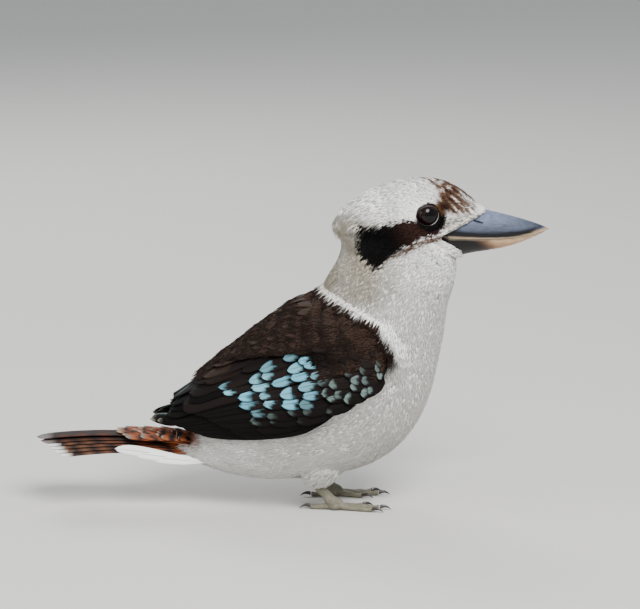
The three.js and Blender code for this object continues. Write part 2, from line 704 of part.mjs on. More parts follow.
// The origin stands on the floor under the middle of the bird's box.
const box = new THREE.Box3().setFromObject(bird);
bird.position.set(-(box.min.x + box.max.x) / 2, -(box.min.y + box.max.y) / 2, -box.min.z);

export default bird;
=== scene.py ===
"""A laughing kookaburra's plumage, bill, eyes and feet, dressed over the solids of a life-size model.

Forms and places are in millimetres in the bird's own frame, +X where the body faces and +Y to its left,
and are turned to metres in the row frame when a mesh is made.
"""

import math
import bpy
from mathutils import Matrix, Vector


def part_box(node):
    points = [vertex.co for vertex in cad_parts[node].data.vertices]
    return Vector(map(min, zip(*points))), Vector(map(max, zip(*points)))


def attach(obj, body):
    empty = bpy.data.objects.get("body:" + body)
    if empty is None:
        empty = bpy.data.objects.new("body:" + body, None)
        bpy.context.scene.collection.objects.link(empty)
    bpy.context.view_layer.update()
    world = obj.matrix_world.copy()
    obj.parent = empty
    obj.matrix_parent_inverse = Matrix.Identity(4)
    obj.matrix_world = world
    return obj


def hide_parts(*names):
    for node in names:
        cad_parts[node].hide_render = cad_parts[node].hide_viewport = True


bl_info = {
    "name": "Laughing kookaburra",
    "version": (1, 0, 0),
    "blender": (4, 5, 0),
    "location": "View3D > Sidebar > Kookaburra",
    "description": "Dresses a life-size kookaburra in feathers, horn and skin",
    "category": "Object",
}

import bmesh
import bpy
import numpy as np
from mathutils import Vector
from mathutils.bvhtree import BVHTree

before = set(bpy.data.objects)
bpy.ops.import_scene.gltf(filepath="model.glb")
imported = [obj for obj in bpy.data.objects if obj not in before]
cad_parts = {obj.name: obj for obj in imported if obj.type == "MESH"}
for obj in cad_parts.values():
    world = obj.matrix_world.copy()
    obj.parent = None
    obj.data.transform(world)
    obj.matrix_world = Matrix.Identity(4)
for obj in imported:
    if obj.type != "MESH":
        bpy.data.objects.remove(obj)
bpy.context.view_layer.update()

MM = 0.001
SIDES = ("right", "left")
TOES = ("inner", "middle", "outer", "back")
HEAD_YAW = math.radians(18)
NECK_X = 64.0
LEG_OUT = 17.0

# Rows of the folded form: back [x, z], belly [x, z], half width, sag of the widest part, and share of
# the head's turn
FOLDED_SECTIONS = [
    [-112, 57, -112, 52, 3, 0, 0],
    [-98, 62.5, -97, 54, 9, 0, 0],
    [-86, 69, -82, 47, 17, 0, 0],
    [-72, 80, -66, 41, 25, 0, 0],
    [-52, 95.5, -44, 34, 34.5, 0.05, 0],
    [-31, 112, -16, 26, 42, 0.1, 0],
    [-11, 127, 10, 20, 47, 0.12, 0],
    [5, 137.5, 36, 24, 49.5, 0.12, 0],
    [11, 143.5, 60, 36, 50, 0.12, 0],
    [14, 150, 76, 54, 47.5, 0.1, 0],
    [18, 158, 88, 80, 42.5, 0.05, 0],
]
# The bill on the head's axis: ridge [x, z], cutting edge [x, z], half width
UPPER_BILL = [
    [14, 206, 14, 178, 18],
    [24, 203, 24, 176.2, 17.2],
    [36, 198.5, 36, 174.6, 15.2],
    [48, 193.6, 48, 173.4, 13.4],
    [58, 189.8, 58, 172.6, 12],
    [68, 187, 68, 172.1, 10.2],
    [78, 184, 78, 172, 8.2],
    [87, 181, 87, 172.6, 6],
    [95, 178, 95, 173.6, 3.6],
    [101.6, 174.9, 101.4, 174.3, 0.7],
]
LOWER_BILL = [
    [14, 152, 14, 177.5, 16.6],
    [24, 156, 24, 175.7, 15.8],
    [36, 160.5, 36, 174.1, 13.8],
    [48, 162.6, 48, 172.9, 12.2],
    [58, 163.4, 58, 172.1, 10.8],
    [68, 164.4, 68, 171.6, 9],
    [78, 166.3, 78, 171.5, 7],
    [87, 168.9, 87, 172.1, 4.9],
    [95, 171.6, 95, 173.1, 2.6],
    [98.6, 173.1, 98.6, 173.6, 0.8],
]
GAPE = (18, 177.3)
FOREHEAD = (57.2, 190.2)
CHIN = (42, 163.6)
NOSTRIL = {"along": 48.5, "height": 184.2, "out": 10.6, "length": 8.5, "depth": 1.8, "slope": 0.33}
EYE = {"along": 11.7, "height": 191.6, "out": 13.7, "radius": 8.5}
LID = {"wide": 7.5, "high": 6.6}
# Where the folded wing's feathers point to, seen from the side: x and height
FOCUS = (-125, 48)
# The tail's line, the height of one layer of its feathers, and its fall to the sides, mm per square mm
TAIL = {"root": -66, "tip": -171, "rootZ": 38.5, "archZ": 43.6, "tipZ": 40.6, "layer": 1.08, "fall": 0.006}
# Thickness of the feathers of wing and tail, mm
VANE_THICK = 0.25
TAIL_THICK = 0.3
# Each wing stays this far to its own side of the bird's middle, mm
MIDLINE_GAP = 0.1

# Edge of the folded wing seen from the side: reach from the focus and slope in degrees
WING_LOW = [(30, 9), (40, 6.5), (58, 3.8), (70, 2.8), (87, 3.8), (112, 6), (126, 7.4), (147, 7.8),
            (157, 8.8), (167, 9.9), (180, 11.8), (187, 13.6), (192, 16.5)]
WING_FRONT = [(14, 190), (16.5, 192), (19, 192), (23.5, 189), (26.7, 181), (31, 172), (34, 165), (45, 152)]


def mix(a, b, f):
    return a + (b - a) * f


def smooth(low, high, x):
    f = np.clip((x - low) / (high - low), 0, 1)
    return f * f * (3 - 2 * f)


def turned(x, y, yaw):
    """Turned about the neck's upright line."""
    c, s = np.cos(yaw), np.sin(yaw)
    return NECK_X + (x - NECK_X) * c - y * s, (x - NECK_X) * s + y * c


def from_head(points):
    """Points on the head's own axis, measured from the neck's line, in the bird's frame."""
    p = np.asarray(points, float)
    x, y = turned(p[..., 0] + NECK_X, p[..., 1], HEAD_YAW)
    return np.stack([x, y, p[..., 2]], -1)


def to_head(points):
    x, y = turned(points[..., 0], points[..., 1], -HEAD_YAW)
    return np.stack([x - NECK_X, y, points[..., 2]], -1)


# How far the row frame is from the bird's own: the right eye tells
EYE_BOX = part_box("eye_right")
SHIFT = np.array((EYE_BOX[0] + EYE_BOX[1]) / 2) / MM - from_head([EYE["along"], -EYE["out"], EYE["height"]])


def to_row(points):
    """Points of the bird's own frame, in the row frame and in metres."""
    return (points + SHIFT) * MM


def from_row(points):
    return points / MM - SHIFT


def linear(code):
    """An sRGB hex colour as linear red, green and blue."""
    value = np.array([int(code[i:i + 2], 16) / 255 for i in (1, 3, 5)])
    return np.where(value <= 0.04045, value / 12.92, ((value + 0.055) / 1.055) ** 2.4)


def rgba(code):
    return (*linear(code), 1.0)


class KookaburraColours(bpy.types.PropertyGroup):
    """Plumage and horn colours, as sRGB hex values."""

    white: bpy.props.StringProperty(name="White", description="Breast, throat and crown", default="#f9f8f4")
    # Grey is painted shade of the underside, laid over the white of the lower belly and flank
    grey: bpy.props.StringProperty(name="Grey", description="Lower belly and flank", default="#d9d6cf")
    buff: bpy.props.StringProperty(name="Buff", description="Nape and side of the neck", default="#bcb3a2")
    mask: bpy.props.StringProperty(name="Mask", description="Ear patch", default="#080606")
    mask_brown: bpy.props.StringProperty(
        name="Mask brown", description="Mask behind the eye", default="#2a1a15")
    streak: bpy.props.StringProperty(
        name="Streak", description="Streaks of the forehead", default="#553319")
    mantle: bpy.props.StringProperty(name="Mantle", description="Back and scapulars", default="#2d211b")
    wing: bpy.props.StringProperty(name="Wing", description="Wing coverts", default="#181210")
    flight: bpy.props.StringProperty(name="Flight", description="Flight feathers", default="#0a0807")
    blue: bpy.props.StringProperty(name="Blue", description="Tips of the coverts", default="#6fb3c6")
    teal: bpy.props.StringProperty(
        name="Teal", description="Duller tips at the shoulder", default="#6f827e")
    rufous: bpy.props.StringProperty(name="Rufous", description="Rump and tail coverts", default="#8c4a2b")
    tan: bpy.props.StringProperty(name="Tan", description="Pale bars of the tail", default="#b98d62")
    tail: bpy.props.StringProperty(name="Tail", description="Dark bars of the tail", default="#2d2523")


class KookaburraSizes(bpy.types.PropertyGroup):
    """Sizes that a user would change."""

    coat_depth: bpy.props.FloatProperty(
        name="Coat depth", description="From skin to feather tips on the body, mm",
        default=3.6, min=1, max=8)
    head_depth: bpy.props.FloatProperty(
        name="Head coat depth", description="From skin to feather tips on the head, mm",
        default=2.0, min=0.5, max=5)
    skin_voxel: bpy.props.FloatProperty(
        name="Skin detail", description="Voxel of the skin, mm",
        default=1.3, min=0.6, max=4)
    body_tufts: bpy.props.IntProperty(
        name="Body tufts", description="How many tufts the body has",
        default=67000, min=1000, max=75000)
    head_tufts: bpy.props.IntProperty(
        name="Head tufts", description="How many tufts the head has",
        default=39000, min=1000, max=39000)
    mantle_tufts: bpy.props.IntProperty(
        name="Mantle tufts", description="How many tufts each wing's shoulder has",
        default=13000, min=500, max=19000)


def colours():
    return bpy.context.scene.kookaburra_colours


def sizes():
    return bpy.context.scene.kookaburra_sizes


def tint(name):
    return linear(getattr(colours(), name))


def through(table, t):
    """Catmull-Rom through a table's rows, t from 0 to 1."""
    table = np.asarray(table, float)
    last = len(table) - 1
    s = np.clip(t, 0, 1) * last
    i = np.minimum(s.astype(int), last - 1)
    f = (s - i)[..., None]
    p0, p1, p2, p3 = (table[np.clip(i + k, 0, last)] for k in (-1, 0, 1, 2))
    return 0.5 * (2 * p1 + (p2 - p0) * f + (2 * p0 - 5 * p1 + 4 * p2 - p3) * f**2
                  + (3 * p1 - 3 * p2 + p3 - p0) * f**3)


class Form:
    """A loft through sections that each stand between a point of the back and one of the belly."""

    def __init__(self, rows):
        self.rows = np.array(rows, float)

    def bare(self, t, angle):
        bx, bz, ex, ez, half, sag, turn = np.moveaxis(through(self.rows, t), -1, 0)
        c, s = np.cos(angle), np.sin(angle)
        up = (c - sag * s * s) / 2
        x, y = turned((bx + ex) / 2 + (bx - ex) * up, -half * s, turn * HEAD_YAW)
        return np.stack([x, y, (bz + ez) / 2 + (bz - ez) * up], -1)

    def lie(self, t, angle):
        """Millimetres per unit along and round, and the way out."""
        low, high = np.maximum(t - 0.004, 0), np.minimum(t + 0.004, 1)
        along = self.bare(high, angle) - self.bare(low, angle)
        round_ = self.bare(t, angle + 0.02) - self.bare(t, angle - 0.02)
        out = np.cross(round_, along)
        out /= np.linalg.norm(out, axis=-1, keepdims=True)
        return np.linalg.norm(along, axis=-1) / (high - low), np.linalg.norm(round_, axis=-1) / 0.04, out

    def find(self, x, z):
        """Where the right side passes a point of the side view."""
        x, z = np.broadcast_arrays(np.asarray(x, float), np.asarray(z, float))
        low, high = np.zeros(x.shape), np.ones(x.shape)
        for _ in range(26):
            middle = (low + high) / 2
            bx, bz, ex, ez = np.moveaxis(through(self.rows, middle)[..., :4], -1, 0)
            above = (bx - ex) * (z - ez) > (bz - ez) * (x - ex)
            high, low = np.where(above, middle, high), np.where(above, low, middle)
        bx, bz, ex, ez, _, sag, _ = np.moveaxis(through(self.rows, low), -1, 0)
        length = np.hypot(bx - ex, bz - ez)
        height = ((x - ex) * (bx - ex) + (z - ez) * (bz - ez)) / length
        q = np.clip(2 * height / length - 1, -0.995, 0.995)
        steep = np.maximum(sag, 1e-6)
        c = np.where(sag > 1e-6, (np.sqrt(1 + 4 * steep * (steep + q)) - 1) / (2 * steep), q)
        return low, np.arccos(np.clip(c, -1, 1))


FOLDED = Form(FOLDED_SECTIONS)


def on_fan(reach, slope):
    slope = np.radians(slope)
    return FOLDED.find(FOCUS[0] + reach * np.cos(slope), FOCUS[1] + reach * np.sin(slope))


def fan_of(points):
    """Reach from the wing's focus and slope in degrees, of points seen from the side."""
    x, z = points[..., 0] - FOCUS[0], points[..., 2] - FOCUS[1]
    return np.hypot(x, z), np.degrees(np.arctan2(z, x))


def wing_low(reach):
    return np.interp(reach, *zip(*WING_LOW))


def wing_front(slope):
    return np.interp(slope, *zip(*WING_FRONT))


def ripple(points, size, seed):
    """A smooth noise of about -1 to 1 from a few sine waves, with its swells about size mm apart."""
    draw = np.random.default_rng(seed)
    total = np.zeros(points.shape[:-1])
    for _ in range(6):
        way = draw.normal(size=3)
        way *= draw.uniform(0.7, 1.5) * 2 * math.pi / size / np.linalg.norm(way)
        total += np.sin(points @ way + draw.uniform(0, 2 * math.pi))
    return total / 2.6


def polygon_depth(x, z, outline):
    """How far inside an outline each point is, in millimetres, below zero outside it."""
    best = np.full(x.shape, 1e9)
    inside = np.zeros(x.shape, bool)
    for (ax, az), (bx, bz) in zip(outline, outline[1:] + outline[:1]):
        dx, dz = bx - ax, bz - az
        f = np.clip(((x - ax) * dx + (z - az) * dz) / (dx * dx + dz * dz), 0, 1)
        best = np.minimum(best, np.hypot(x - ax - f * dx, z - az - f * dz))
        crosses = (az > z) != (bz > z)
        inside ^= crosses & (x < ax + (z - az) / (dz if dz else 1e-9) * dx)
    return np.where(inside, best, -best)


# Markings of the head, seen from its side: along the head and height
MASK = [(20, 191), (3, 190), (-4.6, 190), (-11.5, 188.8), (-19.5, 186.5), (-31, 184.8), (-34, 179),
        (-32, 171), (-28, 165), (-22.2, 158.5), (-17.7, 162.5), (-12.3, 169), (-4.9, 173.8), (4.9, 178.4),
        (15.5, 179.7), (22, 183), (23, 187.8)]
STREAKS = [(16, 196), (21, 205), (14, 213), (14, 219), (27, 219), (38, 214), (48, 206), (53, 198),
           (46, 192), (38, 190.5), (30.5, 189), (21, 192.5)]
LORES = [(23, 181), (23, 189), (31, 189), (52, 190), (52, 180), (30, 176.5)]


def blend_to(colour, code, share):
    return mix(colour, tint(code), np.clip(share, 0, 1)[..., None])


def plumage(points, chance=0.5):
    """The colour of the small feathers, by their place on the bird; chance sets each tuft's own leaning."""
    colour = np.broadcast_to(tint("white"), points.shape).copy()
    wave, fine = ripple(points, 22, 4), ripple(points, 3.2, 9)
    head = to_head(points)
    a, v, z = head[..., 0], np.abs(head[..., 1]), head[..., 2]
    x = points[..., 0]
    lean = np.asarray(chance) - 0.5
    # Grey toward the lower belly and flank, painted shade of the underside; fine long streaks on the flank,
    # buff nape and side of the neck
    colour = blend_to(colour, "grey", 0.6 * smooth(100, 45, z) + 0.1 * wave)
    long = ripple(points * [0.12, 1, 1], 3.4, 33)
    flank = smooth(60, 40, z) * smooth(40, 10, x)
    colour = colour * (1 - 0.16 * flank * smooth(0.2, 0.9, long))[..., None]
    nape = smooth(-10, -28, a) * smooth(198, 184, z) * smooth(128, 146, z)
    colour = blend_to(colour, "buff", nape * (0.8 + 0.2 * wave))
    side = smooth(2, -14, a) * smooth(178, 168, z) * smooth(134, 150, z) * smooth(12, 18, v)
    colour = blend_to(colour, "buff", 0.45 * side)
    # Mask, brown behind the eye and black over the ear, with a rufous lower edge
    on_side = smooth(7, 12, v)
    depth = polygon_depth(a, z, MASK) + 0.9 * fine + 2.4 * lean
    rusty = smooth(-5, -1, depth) * smooth(-9, -2, a) * smooth(24, 14, a) * smooth(184, 180, z)
    colour = blend_to(colour, "streak", 0.9 * rusty * on_side * smooth(-0.8, 0.1, fine + lean))
    mask = smooth(-1.2, 1.2, depth) * on_side
    colour = blend_to(colour, "mask_brown", mask)
    colour = blend_to(colour, "mask", mask * smooth(0, -17, a + (z - 180) * 0.4))
    # Dark feathers close round the eye, widest in front of it and below
    ring = np.hypot((a - EYE["along"] - 1.3) / 10.6, (z - EYE["height"] + 1.2) / 8.6)
    colour = blend_to(colour, "mask", on_side * smooth(1.08, 0.9, ring + 0.05 * fine + 0.08 * lean))
    # Streaks of the forehead run up and back from the bill, densest over the eye
    run, over = 0.77 * a - 0.64 * z, 0.64 * a + 0.77 * z
    lines = ripple(np.stack([0.16 * run, 0.8 * v, over], -1), 2.9, 21)
    inside = polygon_depth(a, z, STREAKS) + 1.2 * wave
    dense = smooth(52, 30, a) * smooth(216, 204, z)
    within = smooth(-2.5, 2.5, inside)
    colour = blend_to(colour, "tan", 0.4 * within * dense)
    heart = smooth(12, 4, np.hypot((a - 30) * 0.8, z - 198.5))
    cut = 0.12 - 0.9 * dense - 0.5 * heart
    share = within * smooth(cut, cut + 0.5, lines + 1.1 * lean)
    colour = blend_to(colour, "streak", share * (0.75 + 0.2 * dense))
    colour = blend_to(colour, "mask_brown", share * smooth(0.2, 0.9, lines) * mix(0.35, 0.8, heart))
    brow = smooth(5.5, 1.5, np.hypot(a - 24, (z - 195.5) * 1.5)) * on_side
    colour = blend_to(colour, "mask_brown", brow * 0.85)
    specks = smooth(206, 211, z) * smooth(0.55, 0.95, lines + lean) * smooth(-24, -10, a)
    colour = blend_to(colour, "streak", 0.6 * specks)
    lores = smooth(-1.5, 2, polygon_depth(a, z, LORES))
    colour = blend_to(colour, "buff", 0.55 * lores)
    colour = blend_to(colour, "mask_brown", lores * smooth(0.05, 0.6, fine + 1.4 * lean) * 0.7)
    # A rusty line runs back from the gape under the mask
    line = np.interp(a, [-16, -4, 6, 18, 26], [165.5, 171.6, 175.3, 177.0, 177.6])
    gape = smooth(2.0, 0.8, np.abs(z - line) + 0.5 * fine) * smooth(-18, -8, a) * smooth(30, 22, a)
    colour = blend_to(colour, "streak", gape * on_side * mix(0.45, 0.95, smooth(-0.5, 0.3, lean)))
    # Back, rump and vent
    reach, slope = fan_of(points)
    back = smooth(1, -1, reach - wing_front(slope) + fine) * smooth(13, 17, slope) * (z < 150)
    colour = blend_to(colour, "mantle", back)
    hind = smooth(-24, -34, x) * smooth(52, 56, z)
    colour = blend_to(colour, "mantle", hind)
    rump = np.maximum(smooth(-58, -66, x) * smooth(38, 43, z), hind * smooth(66, 54, z))
    colour = blend_to(colour, "rufous", rump)
    colour = blend_to(colour, "tail", rump * smooth(0, 0.5, np.sin(x * 0.9 + fine)) * 0.9)
    # Dull buff at the vent is painted shade under the tail
    vent = smooth(-60, -80, x) * smooth(44, 36, z)
    return blend_to(colour, "buff", 0.35 * vent)


# The lie of the small feathers on the head: place along the head, out and up, and the way they point
HEAD_LIE = [
    ((54, 0, 194), (-0.9, 0, 0.5)), ((40, 8, 196), (-0.85, 0, 0.55)), ((30, 14, 193), (-1, 0, 0.4)),
    ((25, 0, 212), (-1, 0, 0.05)), ((0, 0, 213), (-1, 0, -0.05)), ((-20, 0, 208), (-1, 0, -0.3)),
    ((-36, 0, 198), (-0.75, 0, -1)), ((-41, 0, 184), (-0.3, 0, -1)), ((-20, 20, 195), (-1, 0, -0.25)),
    ((5, 22, 202), (-1, 0, -0.1)), ((-15, 25, 180), (-1, 0, -0.4)), ((-30, 20, 172), (-0.55, 0, -1)),
    ((10, 24, 176), (-1, 0, -0.15)), ((28, 16, 181), (-1, 0, 0.05)), ((40, 12, 184), (-1, 0, 0.35)),
    ((36, 6, 162), (-1, 0, -0.15)), ((16, 12, 155), (-0.75, 0, -0.8)), ((0, 20, 162), (-0.8, 0, -0.7)),
]
# The same on the body, in the bird's frame
BODY_LIE = [
    ((92, 0, 150), (-0.55, 0, -1)), ((92, 0, 128), (-0.15, 0, -1)), ((92, 0, 105), (-0.15, 0, -1)),
    ((84, 0, 70), (-0.4, 0, -1)), ((66, 0, 40), (-1, 0, -0.8)), ((30, 0, 20), (-1, 0, -0.05)),
    ((-15, 0, 16), (-1, 0, 0)), ((-50, 0, 22), (-1, 0, 0.15)), ((-80, 0, 32), (-1, 0, 0.1)),
    ((24, 2, 168), (-0.3, 0, -1)), ((18, 2, 150), (-0.55, 0, -1)), ((2, 0, 134), (-0.8, 0, -0.7)),
    ((-35, 0, 96), (-0.8, 0, -0.7)), ((-70, 0, 56), (-1, 0, -0.4)), ((53, 30, 158), (-0.5, 0, -1)),
    ((51, 34, 138), (-0.5, 0, -1)), ((66, 38, 105), (-0.4, 0.05, -1)), ((56, 42, 70), (-0.8, 0, -0.7)),
    ((20, 42, 52), (-1, 0, -0.15)), ((-30, 32, 40), (-1, 0, 0)), ((10, 17, 26), (-0.15, 0, -1)),
]


def lie_guides():
    """The guides of both sides in the bird's frame."""
    places, ways = [], []
    for table, turn in ((HEAD_LIE, True), (BODY_LIE, False)):
        for place, way in table:
            for hand in (-1, 1):
                at, to = np.array(place, float) * [1, hand, 1], np.array(way, float) * [1, hand, 1]
                if turn:
                    at, to = from_head(at), from_head(to) - from_head([0, 0, 0])
                places.append(at)
                ways.append(to / np.linalg.norm(to))
    return np.array(places), np.array(ways)


def lie_of(points, normals, spread=13.0):
    """The way the feathers point along the surface, parting round the eyes."""
    places, ways = lie_guides()
    gap = np.linalg.norm(points[:, None, :] - places[None], axis=2)
    way = np.exp(-((gap - gap.min(1, keepdims=True)) / spread)) @ ways
    head = to_head(points)
    off = np.stack([head[:, 0] - EYE["along"], head[:, 1] * 0, head[:, 2] - EYE["height"]], 1)
    far = np.linalg.norm(off, axis=1, keepdims=True)
    near = smooth(16, 9, far[:, 0]) * smooth(6, 10, np.abs(head[:, 1]))
    way += (from_head(off / np.maximum(far, 1)) - from_head([0, 0, 0])) * (1.4 * near)[:, None]
    way -= normals * (way * normals).sum(1, keepdims=True)
    return way / np.maximum(np.linalg.norm(way, axis=1, keepdims=True), 1e-6)


def finish(obj, material, slot, *replaced):
    """A piece's finish, its place on the model and the node that it stands for."""
    obj.data.materials.clear()
    obj.data.materials.append(material)
    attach(obj, "root")
    if replaced:
        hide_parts(*replaced)
    return obj


def made(name, points, faces, uv=None, shade=None, vane_uv=None):
    """A mesh object from points in millimetres and arrays of triangles or quads, with its maps."""
    mesh = bpy.data.meshes.new(name)
    corners = np.concatenate([part.ravel() for part in faces]).astype(np.int32)
    counts = np.concatenate([np.full(len(part), part.shape[1]) for part in faces])
    mesh.vertices.add(len(points))
    mesh.vertices.foreach_set("co", to_row(points).astype(np.float32).ravel())
    mesh.loops.add(len(corners))
    mesh.loops.foreach_set("vertex_index", corners)
    mesh.polygons.add(len(counts))
    mesh.polygons.foreach_set("loop_start", (np.cumsum(counts) - counts).astype(np.int32))
    mesh.update(calc_edges=True)
    mesh.polygons.foreach_set("use_smooth", np.ones(len(counts), bool))
    for label, values in (("OFBake", uv), ("vane", vane_uv)):
        if values is not None:
            layer = mesh.uv_layers.new(name=label)
            layer.data.foreach_set("uv", values[corners].astype(np.float32).ravel())
    if shade is not None:
        paint(mesh, shade)
    obj = bpy.data.objects.new(name, mesh)
    bpy.context.collection.objects.link(obj)
    return obj


def paint(mesh, shade):
    layer = mesh.color_attributes.new("plumage", "FLOAT_COLOR", "POINT")
    full = np.ones((len(shade), 4), np.float32)
    full[:, :3] = shade
    layer.data.foreach_set("color", full.ravel())


def deselect():
    bpy.ops.object.select_all(action="DESELECT")


def only(obj):
    deselect()
    obj.select_set(True)
    bpy.context.view_layer.objects.active = obj
    return obj


def edit(obj, tool, **settings):
    """Runs one of edit mode's tools on the whole of a mesh."""
    only(obj)
    bpy.ops.object.mode_set(mode="EDIT")
    bpy.ops.mesh.select_all(action="SELECT")
    tool(**settings)
    bpy.ops.object.mode_set(mode="OBJECT")


def bake_map(obj, margin=0.01):
    """Unwraps a piece for the baking map."""
    edit(obj, bpy.ops.uv.smart_project, angle_limit=math.radians(66), island_margin=margin)
    obj.data.uv_layers[0].name = "OFBake"


def apply(obj, kind, **settings):
    """Adds a modifier with its settings and applies it."""
    only(obj)
    modifier = obj.modifiers.new(kind.lower(), kind)
    for key, value in settings.items():
        setattr(modifier, key, value)
    bpy.ops.object.modifier_apply(modifier=modifier.name)


def copy_of(name, *nodes):
    """One object joined from merged copies of CAD nodes."""
    copies = []
    for node in nodes:
        obj = bpy.data.objects.new(name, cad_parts[node].data.copy())
        obj.data.materials.clear()
        bpy.context.collection.objects.link(obj)
        copies.append(obj)
    only(copies[0])
    for obj in copies:
        obj.select_set(True)
    if len(copies) > 1:
        bpy.ops.object.join()
    obj = bpy.context.view_layer.objects.active
    obj.name = name
    merged = bmesh.new()
    merged.from_mesh(obj.data)
    bmesh.ops.remove_doubles(merged, verts=merged.verts, dist=1e-6)
    merged.to_mesh(obj.data)
    merged.free()
    return obj


def positions(mesh, key="co"):
    source = mesh.vertices if key == "co" else mesh.vertex_normals
    flat = np.zeros(len(source) * 3, np.float32)
    source.foreach_get("co" if key == "co" else "vector", flat)
    return flat.reshape(-1, 3).astype(float)


def move_to(mesh, points):
    """Sets a mesh's points, in metres in the row frame."""
    mesh.vertices.foreach_set("co", points.astype(np.float32).ravel())
    mesh.update()


class Nodes:
    """A material's nodes, added one at a time with their settings and links."""

    def __init__(self, name):
        self.material = bpy.data.materials.new(name)
        self.material.use_nodes = True
        self.tree = self.material.node_tree
        self.skin = self.tree.nodes["Principled BSDF"]

    def add(self, kind, inputs=None, **settings):
        node = self.tree.nodes.new(kind)
        for key, value in settings.items():
            setattr(node, key, value)
        for key, value in (inputs or {}).items():
            self.put(node.inputs[key], value)
        return node

    def put(self, socket, value):
        if isinstance(value, bpy.types.NodeSocket):
            self.tree.links.new(value, socket)
        else:
            socket.default_value = value

    def finish(self, **inputs):
        for key, value in inputs.items():
            self.put(self.skin.inputs[key.replace("_", " ")], value)
        return self.material


def feather_material(name, grain_mm, contrast, roughness, sheen):
    """Small feathers: keratin barbs that scatter light softly, painted from the plumage colours."""
    n = Nodes(name)
    place = n.add("ShaderNodeTexCoord").outputs["Object"]
    shade = n.add("ShaderNodeVertexColor", layer_name="plumage").outputs["Color"]
    grain = n.add("ShaderNodeTexNoise", {"Vector": place, "Scale": 1 / (grain_mm * MM), "Detail": 3.0})
    level = n.add("ShaderNodeMapRange", {"Value": grain.outputs["Fac"], "From Min": 0.3, "From Max": 0.7,
                                         "To Min": 1 - contrast, "To Max": 1 + contrast})
    scaled = n.add("ShaderNodeVectorMath", {0: shade, 1: level.outputs["Result"]}, operation="MULTIPLY")
    return n.finish(Base_Color=scaled.outputs["Vector"], Roughness=roughness, Sheen_Weight=sheen,
                    Sheen_Roughness=0.5, Specular_IOR_Level=0.04)


def vane_material(name, roughness):
    """Flight feathers and coverts: flat webs of barbs that leave the shaft slantwise, faintly glossy."""
    n = Nodes(name)
    across = n.add("ShaderNodeUVMap", uv_map="vane").outputs["UV"]
    split = n.add("ShaderNodeSeparateXYZ", {"Vector": across})
    shade = n.add("ShaderNodeVertexColor", layer_name="plumage").outputs["Color"]
    # Distance from the shaft, which sits at the middle of the map
    off = n.add("ShaderNodeMath", {0: split.outputs["X"], 1: 0.5}, operation="SUBTRACT")
    away = n.add("ShaderNodeMath", {0: off.outputs[0]}, operation="ABSOLUTE")
    # Barbs run slantwise to the tip; drawn at about 0.9 mm, coarser than life, so that they show
    lean = n.add("ShaderNodeMath", {0: away.outputs[0], 1: -0.012, 2: split.outputs["Y"]},
                 operation="MULTIPLY_ADD")
    wave = n.add("ShaderNodeMath", {0: lean.outputs[0], 1: 2 * math.pi / 0.0009}, operation="MULTIPLY")
    barbs = n.add("ShaderNodeMath", {0: wave.outputs[0]}, operation="SINE")
    level = n.add("ShaderNodeMapRange", {"Value": barbs.outputs[0], "From Min": -1.0, "From Max": 1.0,
                                         "To Min": 0.8, "To Max": 1.14})
    shaft = n.add("ShaderNodeMapRange", {"Value": away.outputs[0], "From Min": 0.02, "From Max": 0.05,
                                         "To Min": 0.55, "To Max": 1.0})
    both = n.add("ShaderNodeMath", {0: level.outputs["Result"], 1: shaft.outputs["Result"]},
                 operation="MULTIPLY")
    scaled = n.add("ShaderNodeVectorMath", {0: shade, 1: both.outputs[0]}, operation="MULTIPLY")
    bump = n.add("ShaderNodeBump", {"Height": barbs.outputs[0], "Strength": 0.25, "Distance": 0.0002})
    return n.finish(Base_Color=scaled.outputs["Vector"], Roughness=roughness, Normal=bump.outputs["Normal"],
                    Specular_IOR_Level=0.08, Sheen_Weight=0.0)


# A tuft's rings: place along it, girth, and share of its lift; the last is its point
TUFT = ((0.0, 0.7, -0.15), (0.45, 1.0, 0.68), (1.0, 0.0, 0.95))
# Height of a tuft's ridge, share of its half width
TUFT_RIDGE = 0.22
# Length and width of the small feathers on the body and on the face, mm
TUFT_LONG = (10.0, 4.2)
TUFT_WIDE = (1.35, 0.76)


def tuft_mesh(name, roots, normals, ways, lengths, widths, heights, shade, uv, surface, draw):
    """Many closed, tapering tufts that lie along a surface, each from a root under it to a soft point.

    heights are how far each tuft's point lifts from the surface."""
    count = len(roots)
    side = np.cross(normals, ways)
    sway = draw.normal(0, 0.12, count)[:, None] * side
    points = np.zeros((count, 7, 3))
    for k, (s, girth, lift) in enumerate(TUFT):
        at = roots + (ways + sway * s) * (lengths * s)[:, None]
        centre, out = at, normals
        if s:
            hits = [surface.find_nearest(Vector(p)) for p in at]
            centre = np.array([hit[0] for hit in hits])
            out = np.array([hit[1] for hit in hits])
            out *= np.sign((out * normals).sum(1, keepdims=True))
            out += 0.8 * normals
            out /= np.linalg.norm(out, axis=1, keepdims=True)
        centre = centre + out * (heights * lift)[:, None]
        if girth:
            w = (widths * girth / 2)[:, None]
            points[:, 3 * k], points[:, 3 * k + 1] = centre - side * w, centre + side * w
            points[:, 3 * k + 2] = centre + out * w * TUFT_RIDGE
        else:
            points[:, 3 * k] = centre
    pattern = [[0, 2, 1], [3, 4, 6], [4, 5, 6], [5, 3, 6]]
    for p, q in ((0, 1), (1, 2), (2, 0)):
        pattern += [[p, q, q + 3], [p, q + 3, p + 3]]
    faces = (np.arange(count)[:, None, None] * 7 + np.array(pattern)[None]).reshape(-1, 3)
    # Each tuft's patch of the baking map sits at its root's place, about 0.003 across
    patch = 0.0015 * np.array([(-0.8, -1), (0.8, -1), (0, -1), (-1, 0.2), (1, 0.2), (0, 0.2), (0, 1)])
    flat = (uv[:, None, :] + patch[None]).reshape(-1, 2)
    root_shaded_tone = np.repeat(shade, 7, axis=0).reshape(count, 7, 3)
    # The root ring of each tuft is painted darker, as shade under the tufts that lap over it
    root_shaded_tone[:, :3] *= 0.95
    return made(name, points.reshape(-1, 3), [faces], flat, root_shaded_tone.reshape(-1, 3))


